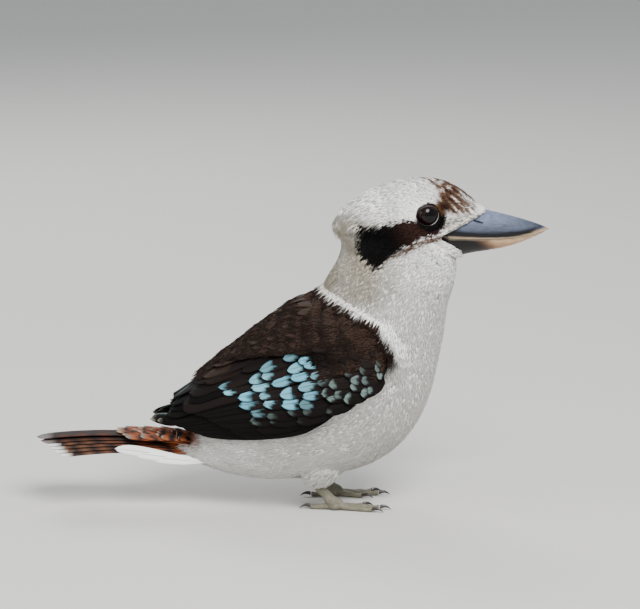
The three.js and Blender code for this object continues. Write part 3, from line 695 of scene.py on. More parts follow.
class Surface:
    """A skin mesh read once: triangles, normals and its unwrap, with tools to scatter roots on it."""

    def __init__(self, obj):
        mesh = obj.data
        mesh.calc_loop_triangles()
        count = len(mesh.loop_triangles)
        corner, loop = np.zeros(count * 3, np.int32), np.zeros(count * 3, np.int32)
        mesh.loop_triangles.foreach_get("vertices", corner)
        mesh.loop_triangles.foreach_get("loops", loop)
        self.corner = corner.reshape(-1, 3)
        self.points = from_row(positions(mesh))
        self.normals = positions(mesh, "normal")
        uv = np.zeros(len(mesh.loops) * 2, np.float32)
        mesh.uv_layers["OFBake"].data.foreach_get("uv", uv)
        self.uv = uv.reshape(-1, 2)[loop.reshape(-1, 3)]
        a, b, c = (self.points[self.corner[:, k]] for k in range(3))
        self.area = np.linalg.norm(np.cross(b - a, c - a), axis=1) / 2
        self.tree = BVHTree.FromPolygons([tuple(p) for p in self.points], self.corner.tolist())

    def scatter(self, count, draw, density):
        """Roots on the surface, thinned or thickened by density of a place."""
        centre = self.points[self.corner].mean(1)
        weight = self.area * density(centre)
        chosen = draw.choice(len(weight), count, p=weight / weight.sum())
        f, g = draw.random(count), draw.random(count)
        over = f + g > 1
        f, g = np.where(over, 1 - f, f), np.where(over, 1 - g, g)
        share = np.stack([1 - f - g, f, g], 1)[:, :, None]
        place = (self.points[self.corner[chosen]] * share).sum(1)
        normal = (self.normals[self.corner[chosen]] * share).sum(1)
        normal /= np.linalg.norm(normal, axis=1, keepdims=True)
        return place, normal, (self.uv[chosen] * share).sum(1)


def wedge_depth(a, z):
    """How far in front of the feathers' edge at the bill a place is, in millimetres."""
    def ahead(end, sign):
        dx, dz = end[0] - GAPE[0], end[1] - GAPE[1]
        return sign * (dz * (a - GAPE[0]) - dx * (z - GAPE[1])) / math.hypot(dx, dz)
    return np.minimum(ahead(FOREHEAD, 1), ahead(CHIN, -1))


def coat_depth(points):
    """From the skin to the feather tips."""
    head = to_head(points)
    a, v, z = head[..., 0], np.abs(head[..., 1]), head[..., 2]
    depth = mix(sizes().coat_depth, sizes().head_depth, smooth(150, 172, z))
    eye = np.hypot(a - EYE["along"], (z - EYE["height"]) * 1.1)
    depth = (depth + 1.5 * crest(points)) * mix(1, smooth(6, 17, eye), smooth(6, 12, v))
    depth = depth * mix(1, smooth(-1, -8, wedge_depth(a, z)), smooth(10, 20, a))
    return depth * mix(0.6, 1, smooth(-84, -70, points[..., 0]))


def throat(points):
    """The full feathers at the front of the neck, under the chin."""
    head = to_head(points)
    return smooth(2, 24, head[..., 0]) * smooth(126, 144, head[..., 2]) * smooth(170, 158, head[..., 2])


def hind_trim(points):
    """Further inset where the hind crown rounds down to the nape."""
    head = to_head(points)
    return 3.6 * smooth(-22, -36, head[..., 0]) * smooth(183, 192, head[..., 2])


class KOOKABURRA_OT_skin(bpy.types.Operator):
    """One skin under the small feathers of head, neck, torso and thighs"""

    bl_idname = "kookaburra.skin"
    bl_label = "Skin"

    def execute(self, context):
        nodes = ("torso", "neck", "head", "thigh_right", "thigh_left")
        skin = copy_of("skin", *nodes)
        apply(skin, "REMESH", mode="VOXEL", voxel_size=sizes().skin_voxel * MM, adaptivity=0.0)
        apply(skin, "SMOOTH", factor=0.5, iterations=6)
        self.even_crest(skin)
        place = from_row(positions(skin.data))
        normal = positions(skin.data, "normal")
        inset = coat_depth(place) + hind_trim(place) - 1.3 * throat(place)
        place = self.hollow(place - normal * inset[:, None])
        move_to(skin.data, to_row(place))
        apply(skin, "SMOOTH", factor=0.5, iterations=2)
        bpy.ops.object.shade_smooth()
        bake_map(skin, 0.004)
        # The skin is painted a little darker than the coat, as shade under the feathers
        paint(skin.data, plumage(from_row(positions(skin.data))) * 0.98)
        finish(skin, feather_material("Down", 1.2, 0.12, 0.95, 0.05), "white_feathers", *nodes)
        return {"FINISHED"}

    def even_crest(self, skin):
        """Smooths the solids' broad crest away, where finer feathers take its place."""
        share = crest(from_row(positions(skin.data)))
        group = skin.vertex_groups.new(name="crest")
        for index in np.nonzero(share > 0.02)[0]:
            group.add([int(index)], float(share[index]), "REPLACE")
        apply(skin, "SMOOTH", factor=0.6, iterations=24, vertex_group="crest")

    def hollow(self, place):
        """Draws the skin in behind the eyeball, so that the whole opening between the lids shows it."""
        head = to_head(place)
        a, z = head[:, 0] - EYE["along"], head[:, 2] - EYE["height"]
        ball = EYE["out"] + np.sqrt(np.maximum(EYE["radius"] ** 2 - a**2 - z**2, 0)) - 1.3
        inside = smooth(1.12, 0.98, np.hypot(a / (LID["wide"] + 0.4), z / (LID["high"] + 0.2)))
        v = np.abs(head[:, 1])
        inside = inside * (v > 8)
        head[:, 1] = np.sign(head[:, 1]) * mix(v, np.minimum(v, ball), inside)
        return from_head(head)


def collar(points):
    """Extra lift of the white feathers that lap over the front of the folded wing."""
    reach, slope = fan_of(points)
    gap = reach - wing_front(slope)
    under_head = smooth(158, 150, points[..., 2])
    return 4.4 * smooth(-3, 0, gap) * smooth(13, 4, gap) * smooth(14, 19, slope) * under_head


def crest(points):
    """Where the long feathers of the hind crown hang over the nape."""
    head = to_head(points)
    return smooth(-8, -28, head[..., 0]) * smooth(180, 190, head[..., 2])


def face(points):
    """How near the face a place is, from 0 on the body to 1 round eye and bill."""
    head = to_head(points)
    front = smooth(-10, 16, head[..., 0]) * smooth(152, 165, head[..., 2])
    return np.maximum(0.55 * smooth(150, 172, points[..., 2]), front)


def scattered(name, surface, count, draw, density, material):
    """One coat piece: tufts over part of the skin."""
    place, normal, uv = surface.scatter(count, draw, density)
    way = lie_of(place, normal)
    # Bristly feathers at the bill's base point forward over it
    edge = wedge_depth(*to_head(place).T[[0, 2]])
    chin = (edge > -6) & (place[:, 2] < 168) & (place[:, 2] > 148) & (to_head(place)[:, 0] > 24)
    forward = (edge > -3.4) & (draw.random(count) < 0.7) & (place[:, 2] > 160)
    forward |= chin & (draw.random(count) < 0.75)
    ahead = from_head([1.0, 0, -0.25]) - from_head([0, 0, 0])
    way = np.where(forward[:, None], ahead, way) + draw.normal(0, 0.07, way.shape)
    way -= normal * (way * normal).sum(1, keepdims=True)
    way /= np.linalg.norm(way, axis=1, keepdims=True)
    near, hind = face(place), crest(place)
    off = to_head(place) - [EYE["along"], 0, EYE["height"]]
    by_eye = smooth(17, 10, np.hypot(off[:, 0], off[:, 2])) * (np.abs(off[:, 1]) > 8)
    long = mix(*TUFT_LONG, near) * mix(0.6, 1, smooth(8, 22, place[:, 2])) + 4.0 * hind
    long *= mix(1, 0.6, np.maximum(by_eye, forward * 0.9 * ~chin)) * draw.uniform(0.75, 1.2, count)
    bristle = np.where(forward, long * draw.uniform(0.9, 1.9, count), long)
    long = np.where(chin, np.maximum(long, 5.2), bristle)
    wide = mix(*TUFT_WIDE, near) * draw.uniform(0.75, 1.25, count)
    high = np.maximum(coat_depth(place), 0.35) * draw.uniform(0.88, 1.14, count) + collar(place)
    high = high + 0.3 * hind + 0.4 * throat(place)
    # A few feathers of the hind crown stand out raggedly
    ragged = hind * (draw.random(count) < 0.3)
    long, high = long + 3.0 * ragged, high + 2.0 * ragged
    shade = plumage(place + way * (0.6 * long)[:, None], draw.random(count))
    shade = shade * draw.normal(1, 0.04, (count, 1)).clip(0.85, 1.12)
    obj = tuft_mesh(name, place, normal, way, long, wide, high, shade, uv, surface.tree, draw)
    return finish(obj, material, "white_feathers")


def on_head(points):
    return smooth(150, 158, points[..., 2])


def clear_of_face(points):
    """Nothing grows on the bill, inside the lids or in the sockets."""
    head = to_head(points)
    a, v, z = head[..., 0], np.abs(head[..., 1]), head[..., 2]
    eye = np.hypot((a - EYE["along"]) / (LID["wide"] + 0.9), (z - EYE["height"]) / (LID["high"] + 0.8))
    return ((eye > 1) | (v < 8)) & (wedge_depth(a, z) < -0.3)


def clear_of_wing(points):
    reach, slope = fan_of(points)
    hidden = (slope > wing_low(reach) + 3) & (reach < wing_front(slope) - 4) & (points[..., 0] > -80)
    return ~hidden


# Where one piece of the coat fades into the next: the face's place along the head, the neck's height,
# and the breast's and the rump's place along the body
SEAMS = {"face": (-8, 6), "neck": (112, 118), "breast": (30, 36), "rump": (-32, -26)}


def past(seam, value):
    low, high = SEAMS[seam]
    return smooth(low, high, value)


def short_of(seam, value):
    low, high = SEAMS[seam]
    return smooth(high, low, value)


def lower_body(points):
    return clear_of_wing(points) * short_of("neck", points[..., 2])


# Pieces of the coat: share of the tufts of head or body, seed, and where the piece lies
ZONES = {
    "coat_face": ("head", 0.5, 41,
                  lambda p: clear_of_face(p) * on_head(p) * past("face", to_head(p)[..., 0])
                  * (1 + face(p))),
    "coat_crown": ("head", 0.5, 42, lambda p: on_head(p) * short_of("face", to_head(p)[..., 0])),
    "coat_neck": ("body", 0.24, 43,
                  lambda p: (1 - on_head(p)) * clear_of_wing(p) * past("neck", p[..., 2])),
    "coat_breast": ("body", 0.28, 44, lambda p: lower_body(p) * past("breast", p[..., 0])),
    "coat_belly": ("body", 0.28, 45,
                   lambda p: lower_body(p) * short_of("breast", p[..., 0]) * past("rump", p[..., 0])),
    "coat_rump": ("body", 0.2, 46, lambda p: lower_body(p) * short_of("rump", p[..., 0])),
}


class KOOKABURRA_OT_coat(bpy.types.Operator):
    """Small feathers of head, neck, breast, belly, flanks and thighs"""

    bl_idname = "kookaburra.coat"
    bl_label = "Coat"

    def execute(self, context):
        surface = Surface(bpy.data.objects["skin"])
        soft = feather_material("Contour feathers", 0.8, 0.07, 0.95, 0.02)
        for name, (part, share, seed, density) in ZONES.items():
            count = int(share * getattr(sizes(), part + "_tufts"))
            scattered(name, surface, count, np.random.default_rng(seed), density, soft)
        return {"FINISHED"}


class Vanes:
    """A set of like feathers gathered into one piece."""

    def __init__(self):
        self.points, self.faces, self.shade, self.uv = [], [], [], []
        self.total = 0

    def add(self, upper, lower, shade, uv):
        """One feather from two grids of points, with the colour and map of each point of the grid."""
        rows, columns = upper.shape[:2]
        below = rows * columns
        grid = np.arange(below).reshape(rows, columns)
        a, b, c, d = grid[:-1, :-1], grid[:-1, 1:], grid[1:, 1:], grid[1:, :-1]
        top = np.stack([a, b, c, d], -1).reshape(-1, 4)
        low = np.stack([d, c, b, a], -1).reshape(-1, 4) + below
        rim = np.concatenate([grid[0], grid[1:, -1], grid[-1, -2::-1], grid[-2:0:-1, 0]])
        nxt = np.roll(rim, -1)
        wall = np.stack([nxt, rim, rim + below, nxt + below], -1)
        points = np.concatenate([upper.reshape(-1, 3), lower.reshape(-1, 3)])
        faces = np.concatenate([top, low, wall])
        p = points[faces]
        spin = np.einsum("ij,ij->i", p[:, 0], np.cross(p[:, 1], p[:, 2]) + np.cross(p[:, 2], p[:, 3])).sum()
        if spin < 0:
            faces = faces[:, ::-1]
        self.points.append(points)
        self.faces.append(faces + self.total)
        self.shade.append(np.tile(shade.reshape(-1, 3), (2, 1)))
        self.uv.append(np.tile(uv.reshape(-1, 2), (2, 1)))
        self.total += len(points)

    def piece(self, name, material, slot, mirror, *replaced):
        """The feathers as one piece, each with its own cell of the baking map."""
        side = math.ceil(math.sqrt(len(self.points)))
        flat = []
        for k, uv in enumerate(self.uv):
            spread = uv * [1, 12] + [0, 0.02]
            cell = np.array([k % side, k // side])
            flat.append((cell + 0.06 + 0.88 * np.clip(spread, 0, 1)) / side)
        points = np.concatenate(self.points)
        faces = np.concatenate(self.faces)
        if mirror:
            points = points * [1, -1, 1]
            faces = faces[:, ::-1]
        obj = made(name, points, [faces], np.concatenate(flat), np.concatenate(self.shade),
                   np.concatenate(self.uv))
        return finish(obj, material, slot, *replaced)


def round_tip(f, blunt):
    """Share of a feather's full width along it, from the quill to a rounded tip."""
    start = 1 - blunt
    dome = np.sqrt(np.clip(1 - (np.clip(f - start, 0, 1) / blunt) ** 2, 0.0004, 1))
    return mix(0.55, 1, np.clip(f * 3, 0, 1)) * dome


def front_drop(points):
    """How far the wing's surface dips toward its front edge, where the neck's feathers lap over it."""
    reach, slope = fan_of(points)
    gap = wing_front(slope) - reach
    return 3.6 * smooth(14, 0, gap) + 0.3 * np.clip(-gap, 0, 8)


def toward_tip(rows, crowding=1.35):
    """Places of the rows of points along a feather, closer together toward its tip."""
    return 1 - (1 - np.linspace(0, 1, rows)) ** crowding


def vane(form, root, tip, half, sink, rise, draw, blunt, tilt, rows, columns, jag):
    """Two grids of points of one feather on a form, with its map: across, and metres along."""
    f = toward_tip(rows)
    # A ragged margin: some barbs reach further than others
    f = f[:, None] * (1 + draw.uniform(-jag, jag * 0.6, columns)[None] * f[:, None] ** 2)
    side = np.linspace(-1, 1, columns)[None]
    t, angle = mix(root[0], tip[0], f), mix(root[1], tip[1], f)
    along, round_, out = form.lie(t, angle)
    run_t, run_a = (tip[0] - root[0]) * along, (tip[1] - root[1]) * round_
    run = np.hypot(run_t, run_a)
    w = side * half * round_tip(f, blunt)
    place = form.bare(t - w * run_a / run / along, angle + w * run_t / run / round_)
    lift = mix(-sink, rise, np.sqrt(f)) + 0.3 * (1 - side**2) - tilt * side - front_drop(place)
    upper = place + out * (lift + VANE_THICK / 2)[..., None]
    lower = place + out * (lift - VANE_THICK / 2)[..., None]
    span = float(run.mean())
    uv = np.stack(np.broadcast_arrays(0.5 + side / 2, f * span * MM), -1)
    return upper, lower, uv, np.broadcast_arrays(f, side)


# Groove between the scapulars and the wing: reach and slope
GROOVE = [(60, 26), (74, 28.5), (88, 31.5), (101, 31), (132, 26.3), (167, 22.8), (192, 20)]

# Tiers of a wing: kind, count, slopes, reach of the tips, length, half width, sink, rise, tilt
TIERS = [
    ("primaries", 9, (3.6, 20), (60, 31), 80, 4.2, 5.0, -1.5, 1.4),
    ("primaries", 4, (21, 29), (42, 50), 60, 5.4, 5.0, -0.8, 1.0),
    ("secondaries", 9, (5.4, 20), (86, 58), 62, 5.0, 4.2, 0.2, 0.9),
    ("tertials", 4, (21.5, 30), (54, 68), 62, 7.0, 3.5, 1.2, 0.9),
    ("greater", 7, (7.0, 25.5), (98, 84), 36, 4.9, 3.4, 0.9, 0.7),
    ("median", 7, (8.6, 27), (110, 98), 27, 4.6, 3.0, 1.2, 0.6),
    ("median", 7, (9.0, 25.5), (122, 112), 24, 4.5, 3.0, 1.4, 0.6),
    ("lesser", 7, (10.2, 25.5), (133, 126), 21, 4.3, 2.6, 1.5, 0.5),
    ("lesser", 7, (10.4, 24.2), (144, 139), 19, 4.2, 2.6, 1.6, 0.5),
    ("lesser", 6, (11.8, 23.6), (154, 151), 18, 4.1, 2.6, 1.6, 0.5),
    ("lesser", 6, (12.2, 22.5), (164, 162), 16, 3.9, 2.6, 1.6, 0.5),
    ("lesser", 5, (13.6, 21.5), (173, 172), 14, 3.7, 2.4, 1.6, 0.5),
    ("lesser", 4, (14.8, 19.8), (181, 181), 12, 3.4, 2.4, 1.5, 0.4),
    ("scapular", 3, (29, 32), (74, 76), 34, 5.6, 3.2, 1.9, 0.6),
    ("scapular", 4, (31.5, 36), (86, 88), 30, 5.4, 3.2, 2.1, 0.6),
    ("scapular", 5, (31, 37), (98, 101), 28, 5.2, 3.2, 2.2, 0.6),
    ("scapular", 6, (29.5, 37), (110, 114), 26, 5.2, 3.2, 2.3, 0.6),
    ("scapular", 6, (28, 37), (122, 126), 25, 5.2, 3.0, 2.3, 0.6),
    ("scapular", 7, (26.5, 37), (134, 138), 24, 5.0, 3.0, 2.3, 0.6),
    ("scapular", 7, (25.5, 36), (146, 149), 22, 5.0, 3.0, 2.3, 0.6),
]
FLIGHT = ("primaries", "secondaries", "tertials")
COVERTS = ("greater", "median", "lesser")
# Ground colour of a kind of feather, share of its length in the rounded tip, and how ragged its margin is
BASE = {"primaries": "flight", "secondaries": "flight", "tertials": "wing", "scapular": "mantle"}
BLUNT = {"primaries": 0.22, "secondaries": 0.12, "tertials": 0.2, "greater": 0.22}
JAG = {"primaries": 0.01, "secondaries": 0.015, "scapular": 0.09}
# The bed under a wing's feathers: where it starts and ends along the form, and how far from the form it
# lies, mm: its top at the rim, in the middle and at the lowest, and its underside
WING_BED = {"start": 0.24, "end": 0.955, "rim": -5.5, "middle": -0.9, "lowest": -6.8, "underside": -7.2}


def groove_dark(reach, slope):
    """Shade of the groove under the scapulars, 1 away from it."""
    below = np.interp(reach, *zip(*GROOVE)) - slope
    return 1 - 0.8 * smooth(-1.6, 0.4, below) * smooth(5.2, 2.0, below) * smooth(180, 150, reach)


def covert_shade(kind, reach, slope, length, f, side, draw):
    """The colour of each point of one wing feather."""
    dark = tint(BASE.get(kind, "wing")) * draw.uniform(0.8, 1.15) * groove_dark(reach, slope)
    if kind in COVERTS:
        dark = dark * mix(0.45, 1, smooth(11, 17, slope))
    shade = dark * mix(0.75, 1.1, f)[..., None] * np.ones(3)
    bright = smooth(11.5, 14, slope) * smooth(26.4, 25, slope) * smooth(145, 136, reach)
    dull = smooth(10, 12, slope) * smooth(18.5, 16.5, slope) * smooth(137, 145, reach)
    low = 0.4 * smooth(8, 10, slope) * smooth(13, 11.5, slope) * smooth(150, 140, reach)
    if kind in COVERTS:
        size = mix(3.6, 8.6, bright) * draw.uniform(0.6, 1.25)
        ragged = 0.05 * np.sin(side * draw.uniform(3, 7) + draw.uniform(0, 6.3))
        start = 1 - size / length + 0.11 * side**2 + ragged
        spot = smooth(start - 0.04, start + 0.05, f) * smooth(1.0, 0.82, np.abs(side))
        spot = spot * mix(1, 0.5, smooth(0.14, 0.02, np.abs(side)) * (1 - f))
        colour = mix(tint("teal"), tint("blue"), bright * draw.uniform(0.6, 1)) * draw.uniform(0.7, 1.25)
        shade = mix(shade, colour, (spot * max(bright, 0.7 * dull, low))[..., None])
    if kind == "primaries":
        edge = smooth(0.72, 0.95, side) * smooth(0.3, 0.5, f)
        shade = mix(shade, tint("teal"), (0.5 * edge)[..., None])
        shade = mix(shade, tint("buff"), (0.5 * (reach < 36) * smooth(0.96, 0.985, f))[..., None])
    if kind == "secondaries":
        shade = mix(shade, tint("blue"), (0.16 * smooth(0.8, 0.97, side) * smooth(0.3, 0.6, f))[..., None])
    return shade


def wing_core(name, mirror, material):
    """The closed bed of down and hidden quills that the wing's feathers lie on, from edge to mid back."""
    rows, columns = 56, 26
    reach = np.array([r for r, _ in WING_LOW if r > 50], float)
    t_low, a_low = on_fan(reach, wing_low(reach) + 1.8)
    order = np.argsort(t_low)
    along = np.linspace(0, 1, rows)
    t = mix(WING_BED["start"], WING_BED["end"], along)[:, None]
    lowest = np.interp(t[:, 0], t_low[order], a_low[order])[:, None]
    t, angle = np.broadcast_arrays(t, mix(0.004, lowest, np.linspace(0, 1, columns)[None]))
    end, edge = (along * 7).clip(0, 1), (np.linspace(1, 0, columns) * 6).clip(0, 1)
    fade = np.sqrt(np.minimum(end[:, None], edge[None]))
    _, _, out = FOLDED.lie(t, angle)
    place = FOLDED.bare(t, angle)
    lift = mix(WING_BED["rim"], WING_BED["middle"], fade) - 1.4 * front_drop(place)
    upper = place + out * np.maximum(lift, WING_BED["lowest"])[..., None]
    lower = place + out * WING_BED["underside"]
    shade = np.broadcast_to(tint("wing") * 0.6, place.shape)
    vanes = Vanes()
    vanes.add(upper, lower, shade, np.stack([angle / 3, t * 0.08], -1))
    return vanes.piece(name, material, "brown_feathers", mirror)


def folded_tree():
    """The right side of the folded wings' form, for feathers to follow."""
    t, angle = np.meshgrid(np.linspace(0.08, 1, 120), np.linspace(-0.25, 2.3, 90), indexing="ij")
    grid = np.arange(t.size).reshape(t.shape)
    quads = np.stack([grid[:-1, :-1], grid[:-1, 1:], grid[1:, 1:], grid[1:, :-1]], -1).reshape(-1, 4)
    return BVHTree.FromPolygons([tuple(p) for p in FOLDED.bare(t, angle).reshape(-1, 3)], quads.tolist())


class KOOKABURRA_OT_wings(bpy.types.Operator):
    """Folded wings: primaries, secondaries, tertials, tiers of coverts, scapulars and soft shoulder"""

    bl_idname = "kookaburra.wings"
    bl_label = "Wings"

    def execute(self, context):
        web = vane_material("Wing vanes", 0.65)
        down = feather_material("Wing bed", 1.0, 0.2, 0.95, 0.03)
        soft = feather_material("Shoulder feathers", 0.9, 0.22, 0.95, 0.02)
        tree = folded_tree()
        for word, mirror, seed in (("right", False, 5), ("left", True, 6)):
            draw = np.random.default_rng(seed)
            groups = {}
            for kind, count, slopes, reaches, length, half, sink, rise, tilt in TIERS:
                for i in range(count):
                    f = i / (count - 1)
                    loose = 2.2 if kind in COVERTS else 1
                    slope = mix(*slopes, f) + draw.uniform(-0.3, 0.3) * loose
                    reach = mix(*reaches, f) + draw.uniform(-1.6, 1.6) * loose
                    own = length * draw.uniform(0.94, 1.06)
                    wide = half * draw.uniform(0.9, 1.08)
                    rows = 16 if kind in FLIGHT else 12
                    start = max(slope, float(wing_low(reach + own)) + 1.4) + draw.uniform(-0.5, 0.5)
                    upper, lower, uv, (along, side) = vane(
                        FOLDED, on_fan(reach + own, start), on_fan(reach, slope), wide, sink, rise, draw,
                        BLUNT.get(kind, 0.32), tilt, rows, 9, JAG.get(kind, 0.045))
                    for grid in (upper, lower):
                        grid[..., 1] = np.minimum(grid[..., 1], -MIDLINE_GAP)
                    shade = covert_shade(kind, reach, slope, own, along, side, draw)
                    name = "coverts" if kind in COVERTS else kind
                    groups.setdefault(name, Vanes()).add(upper, lower, shade, uv)
            node = "wing_" + word
            for name, vanes in groups.items():
                vanes.piece(f"{name}_{word}", web, "brown_feathers", mirror, node)
            wing_core("wing_bed_" + word, mirror, down)
            self.shoulder(word, mirror, draw, soft, tree)
        return {"FINISHED"}

    def shoulder(self, word, mirror, draw, material, tree):
        """Short soft feathers over the mantle, the scapulars and the front of the wing."""
        count = sizes().mantle_tufts
        kept, wanted = [], 0
        while wanted < count:
            t, angle = draw.uniform(0.15, 0.99, count * 3), draw.uniform(0.0, 2.0, count * 3)
            place = FOLDED.bare(t, angle)
            reach, slope = fan_of(place)
            gap = wing_front(slope) - reach
            above = smooth(0.1, 1.5, slope - np.interp(reach, *zip(*GROOVE))) * smooth(72, 84, reach)
            plain = smooth(141, 153, reach) * smooth(17.2, 19, slope)
            rim = smooth(12, 4, gap)
            keep = (gap > 0.5) & (slope > wing_low(reach) + 2) & (slope > 14)
            keep &= draw.random(count * 3) < np.maximum(above, np.maximum(plain, rim))
            kept.append(np.stack([t, angle, above], 1)[keep])
            wanted += keep.sum()
        t, angle, above = np.concatenate(kept)[:count].T
        place = FOLDED.bare(t, angle)
        _, _, out = FOLDED.lie(t, angle)
        reach, slope = fan_of(place)
        way = np.array([FOCUS[0], 0, FOCUS[1]]) - place
        way[:, 1] = -place[:, 1] * 0.35
        way += draw.normal(0, 4, way.shape)
        way -= out * (way * out).sum(1, keepdims=True)
        way /= np.linalg.norm(way, axis=1, keepdims=True)
        long = draw.uniform(6, 11, count) * mix(0.75, 1, above)
        wide = draw.uniform(1.1, 2.2, count)
        drop = front_drop(place)
        clump = ripple(place, 10, 71)
        high = mix(1.8, 2.5, above) + 0.7 * clump + draw.uniform(-0.6, 0.6, count) - 0.8 * drop
        shade = tint("mantle") * (1 + 0.16 * clump + draw.normal(0, 0.12, count)).clip(0.5, 1.6)[:, None]
        shade = shade * groove_dark(reach, slope)[:, None]
        uv = np.stack([0.05 + 0.9 * t, 0.05 + 0.45 * angle], 1)
        root = place - out * (0.9 + drop)[:, None]
        obj = tuft_mesh("shoulder_" + word, root, out, way, long, wide, high, shade, uv, tree, draw)
        if mirror:
            place = positions(obj.data)
            place[:, 1] = 2 * SHIFT[1] * MM - place[:, 1]
            obj.data.flip_normals()
            move_to(obj.data, place)
        finish(obj, material, "brown_feathers")


def tail_point(x, y, lift):
    f = (x - TAIL["root"]) / (TAIL["tip"] - TAIL["root"])
    middle = (TAIL["rootZ"] + TAIL["tipZ"]) / 2
    arch = mix(TAIL["rootZ"], TAIL["tipZ"], f) + (TAIL["archZ"] - middle) * 4 * f * (1 - f)
    return np.stack(np.broadcast_arrays(x, y, arch - TAIL["fall"] * y * y + lift), -1)


def tail_vane(start, end, lifts, half, blunt, rows=16, columns=9):
    f = toward_tip(rows)[:, None]
    side = np.linspace(-1, 1, columns)[None]
    x, y = mix(start[0], end[0], f), mix(start[1], end[1], f)
    lift = mix(lifts[0], lifts[1], f)
    w = side * half * round_tip(f, blunt)
    x, lift = np.broadcast_arrays(x, lift + 0.25 * (1 - side**2))
    upper = tail_point(x, y + w, lift + TAIL_THICK / 2)
    lower = tail_point(x, y + w, lift - TAIL_THICK / 2)
    uv = np.stack(np.broadcast_arrays(0.5 + side / 2, f * abs(end[0] - start[0]) * MM), -1)
    return upper, lower, uv, np.broadcast_arrays(f, side)


def barred(f, side, length, spacing, light, dark, wobble):
    """Two colours in bars across a feather."""
    wave = np.sin(2 * math.pi * (f * length + 1.2 * np.abs(side) + wobble) / spacing)
    share = smooth(-0.35, 0.35, wave)
    return mix(np.asarray(light), np.asarray(dark), share[..., None])


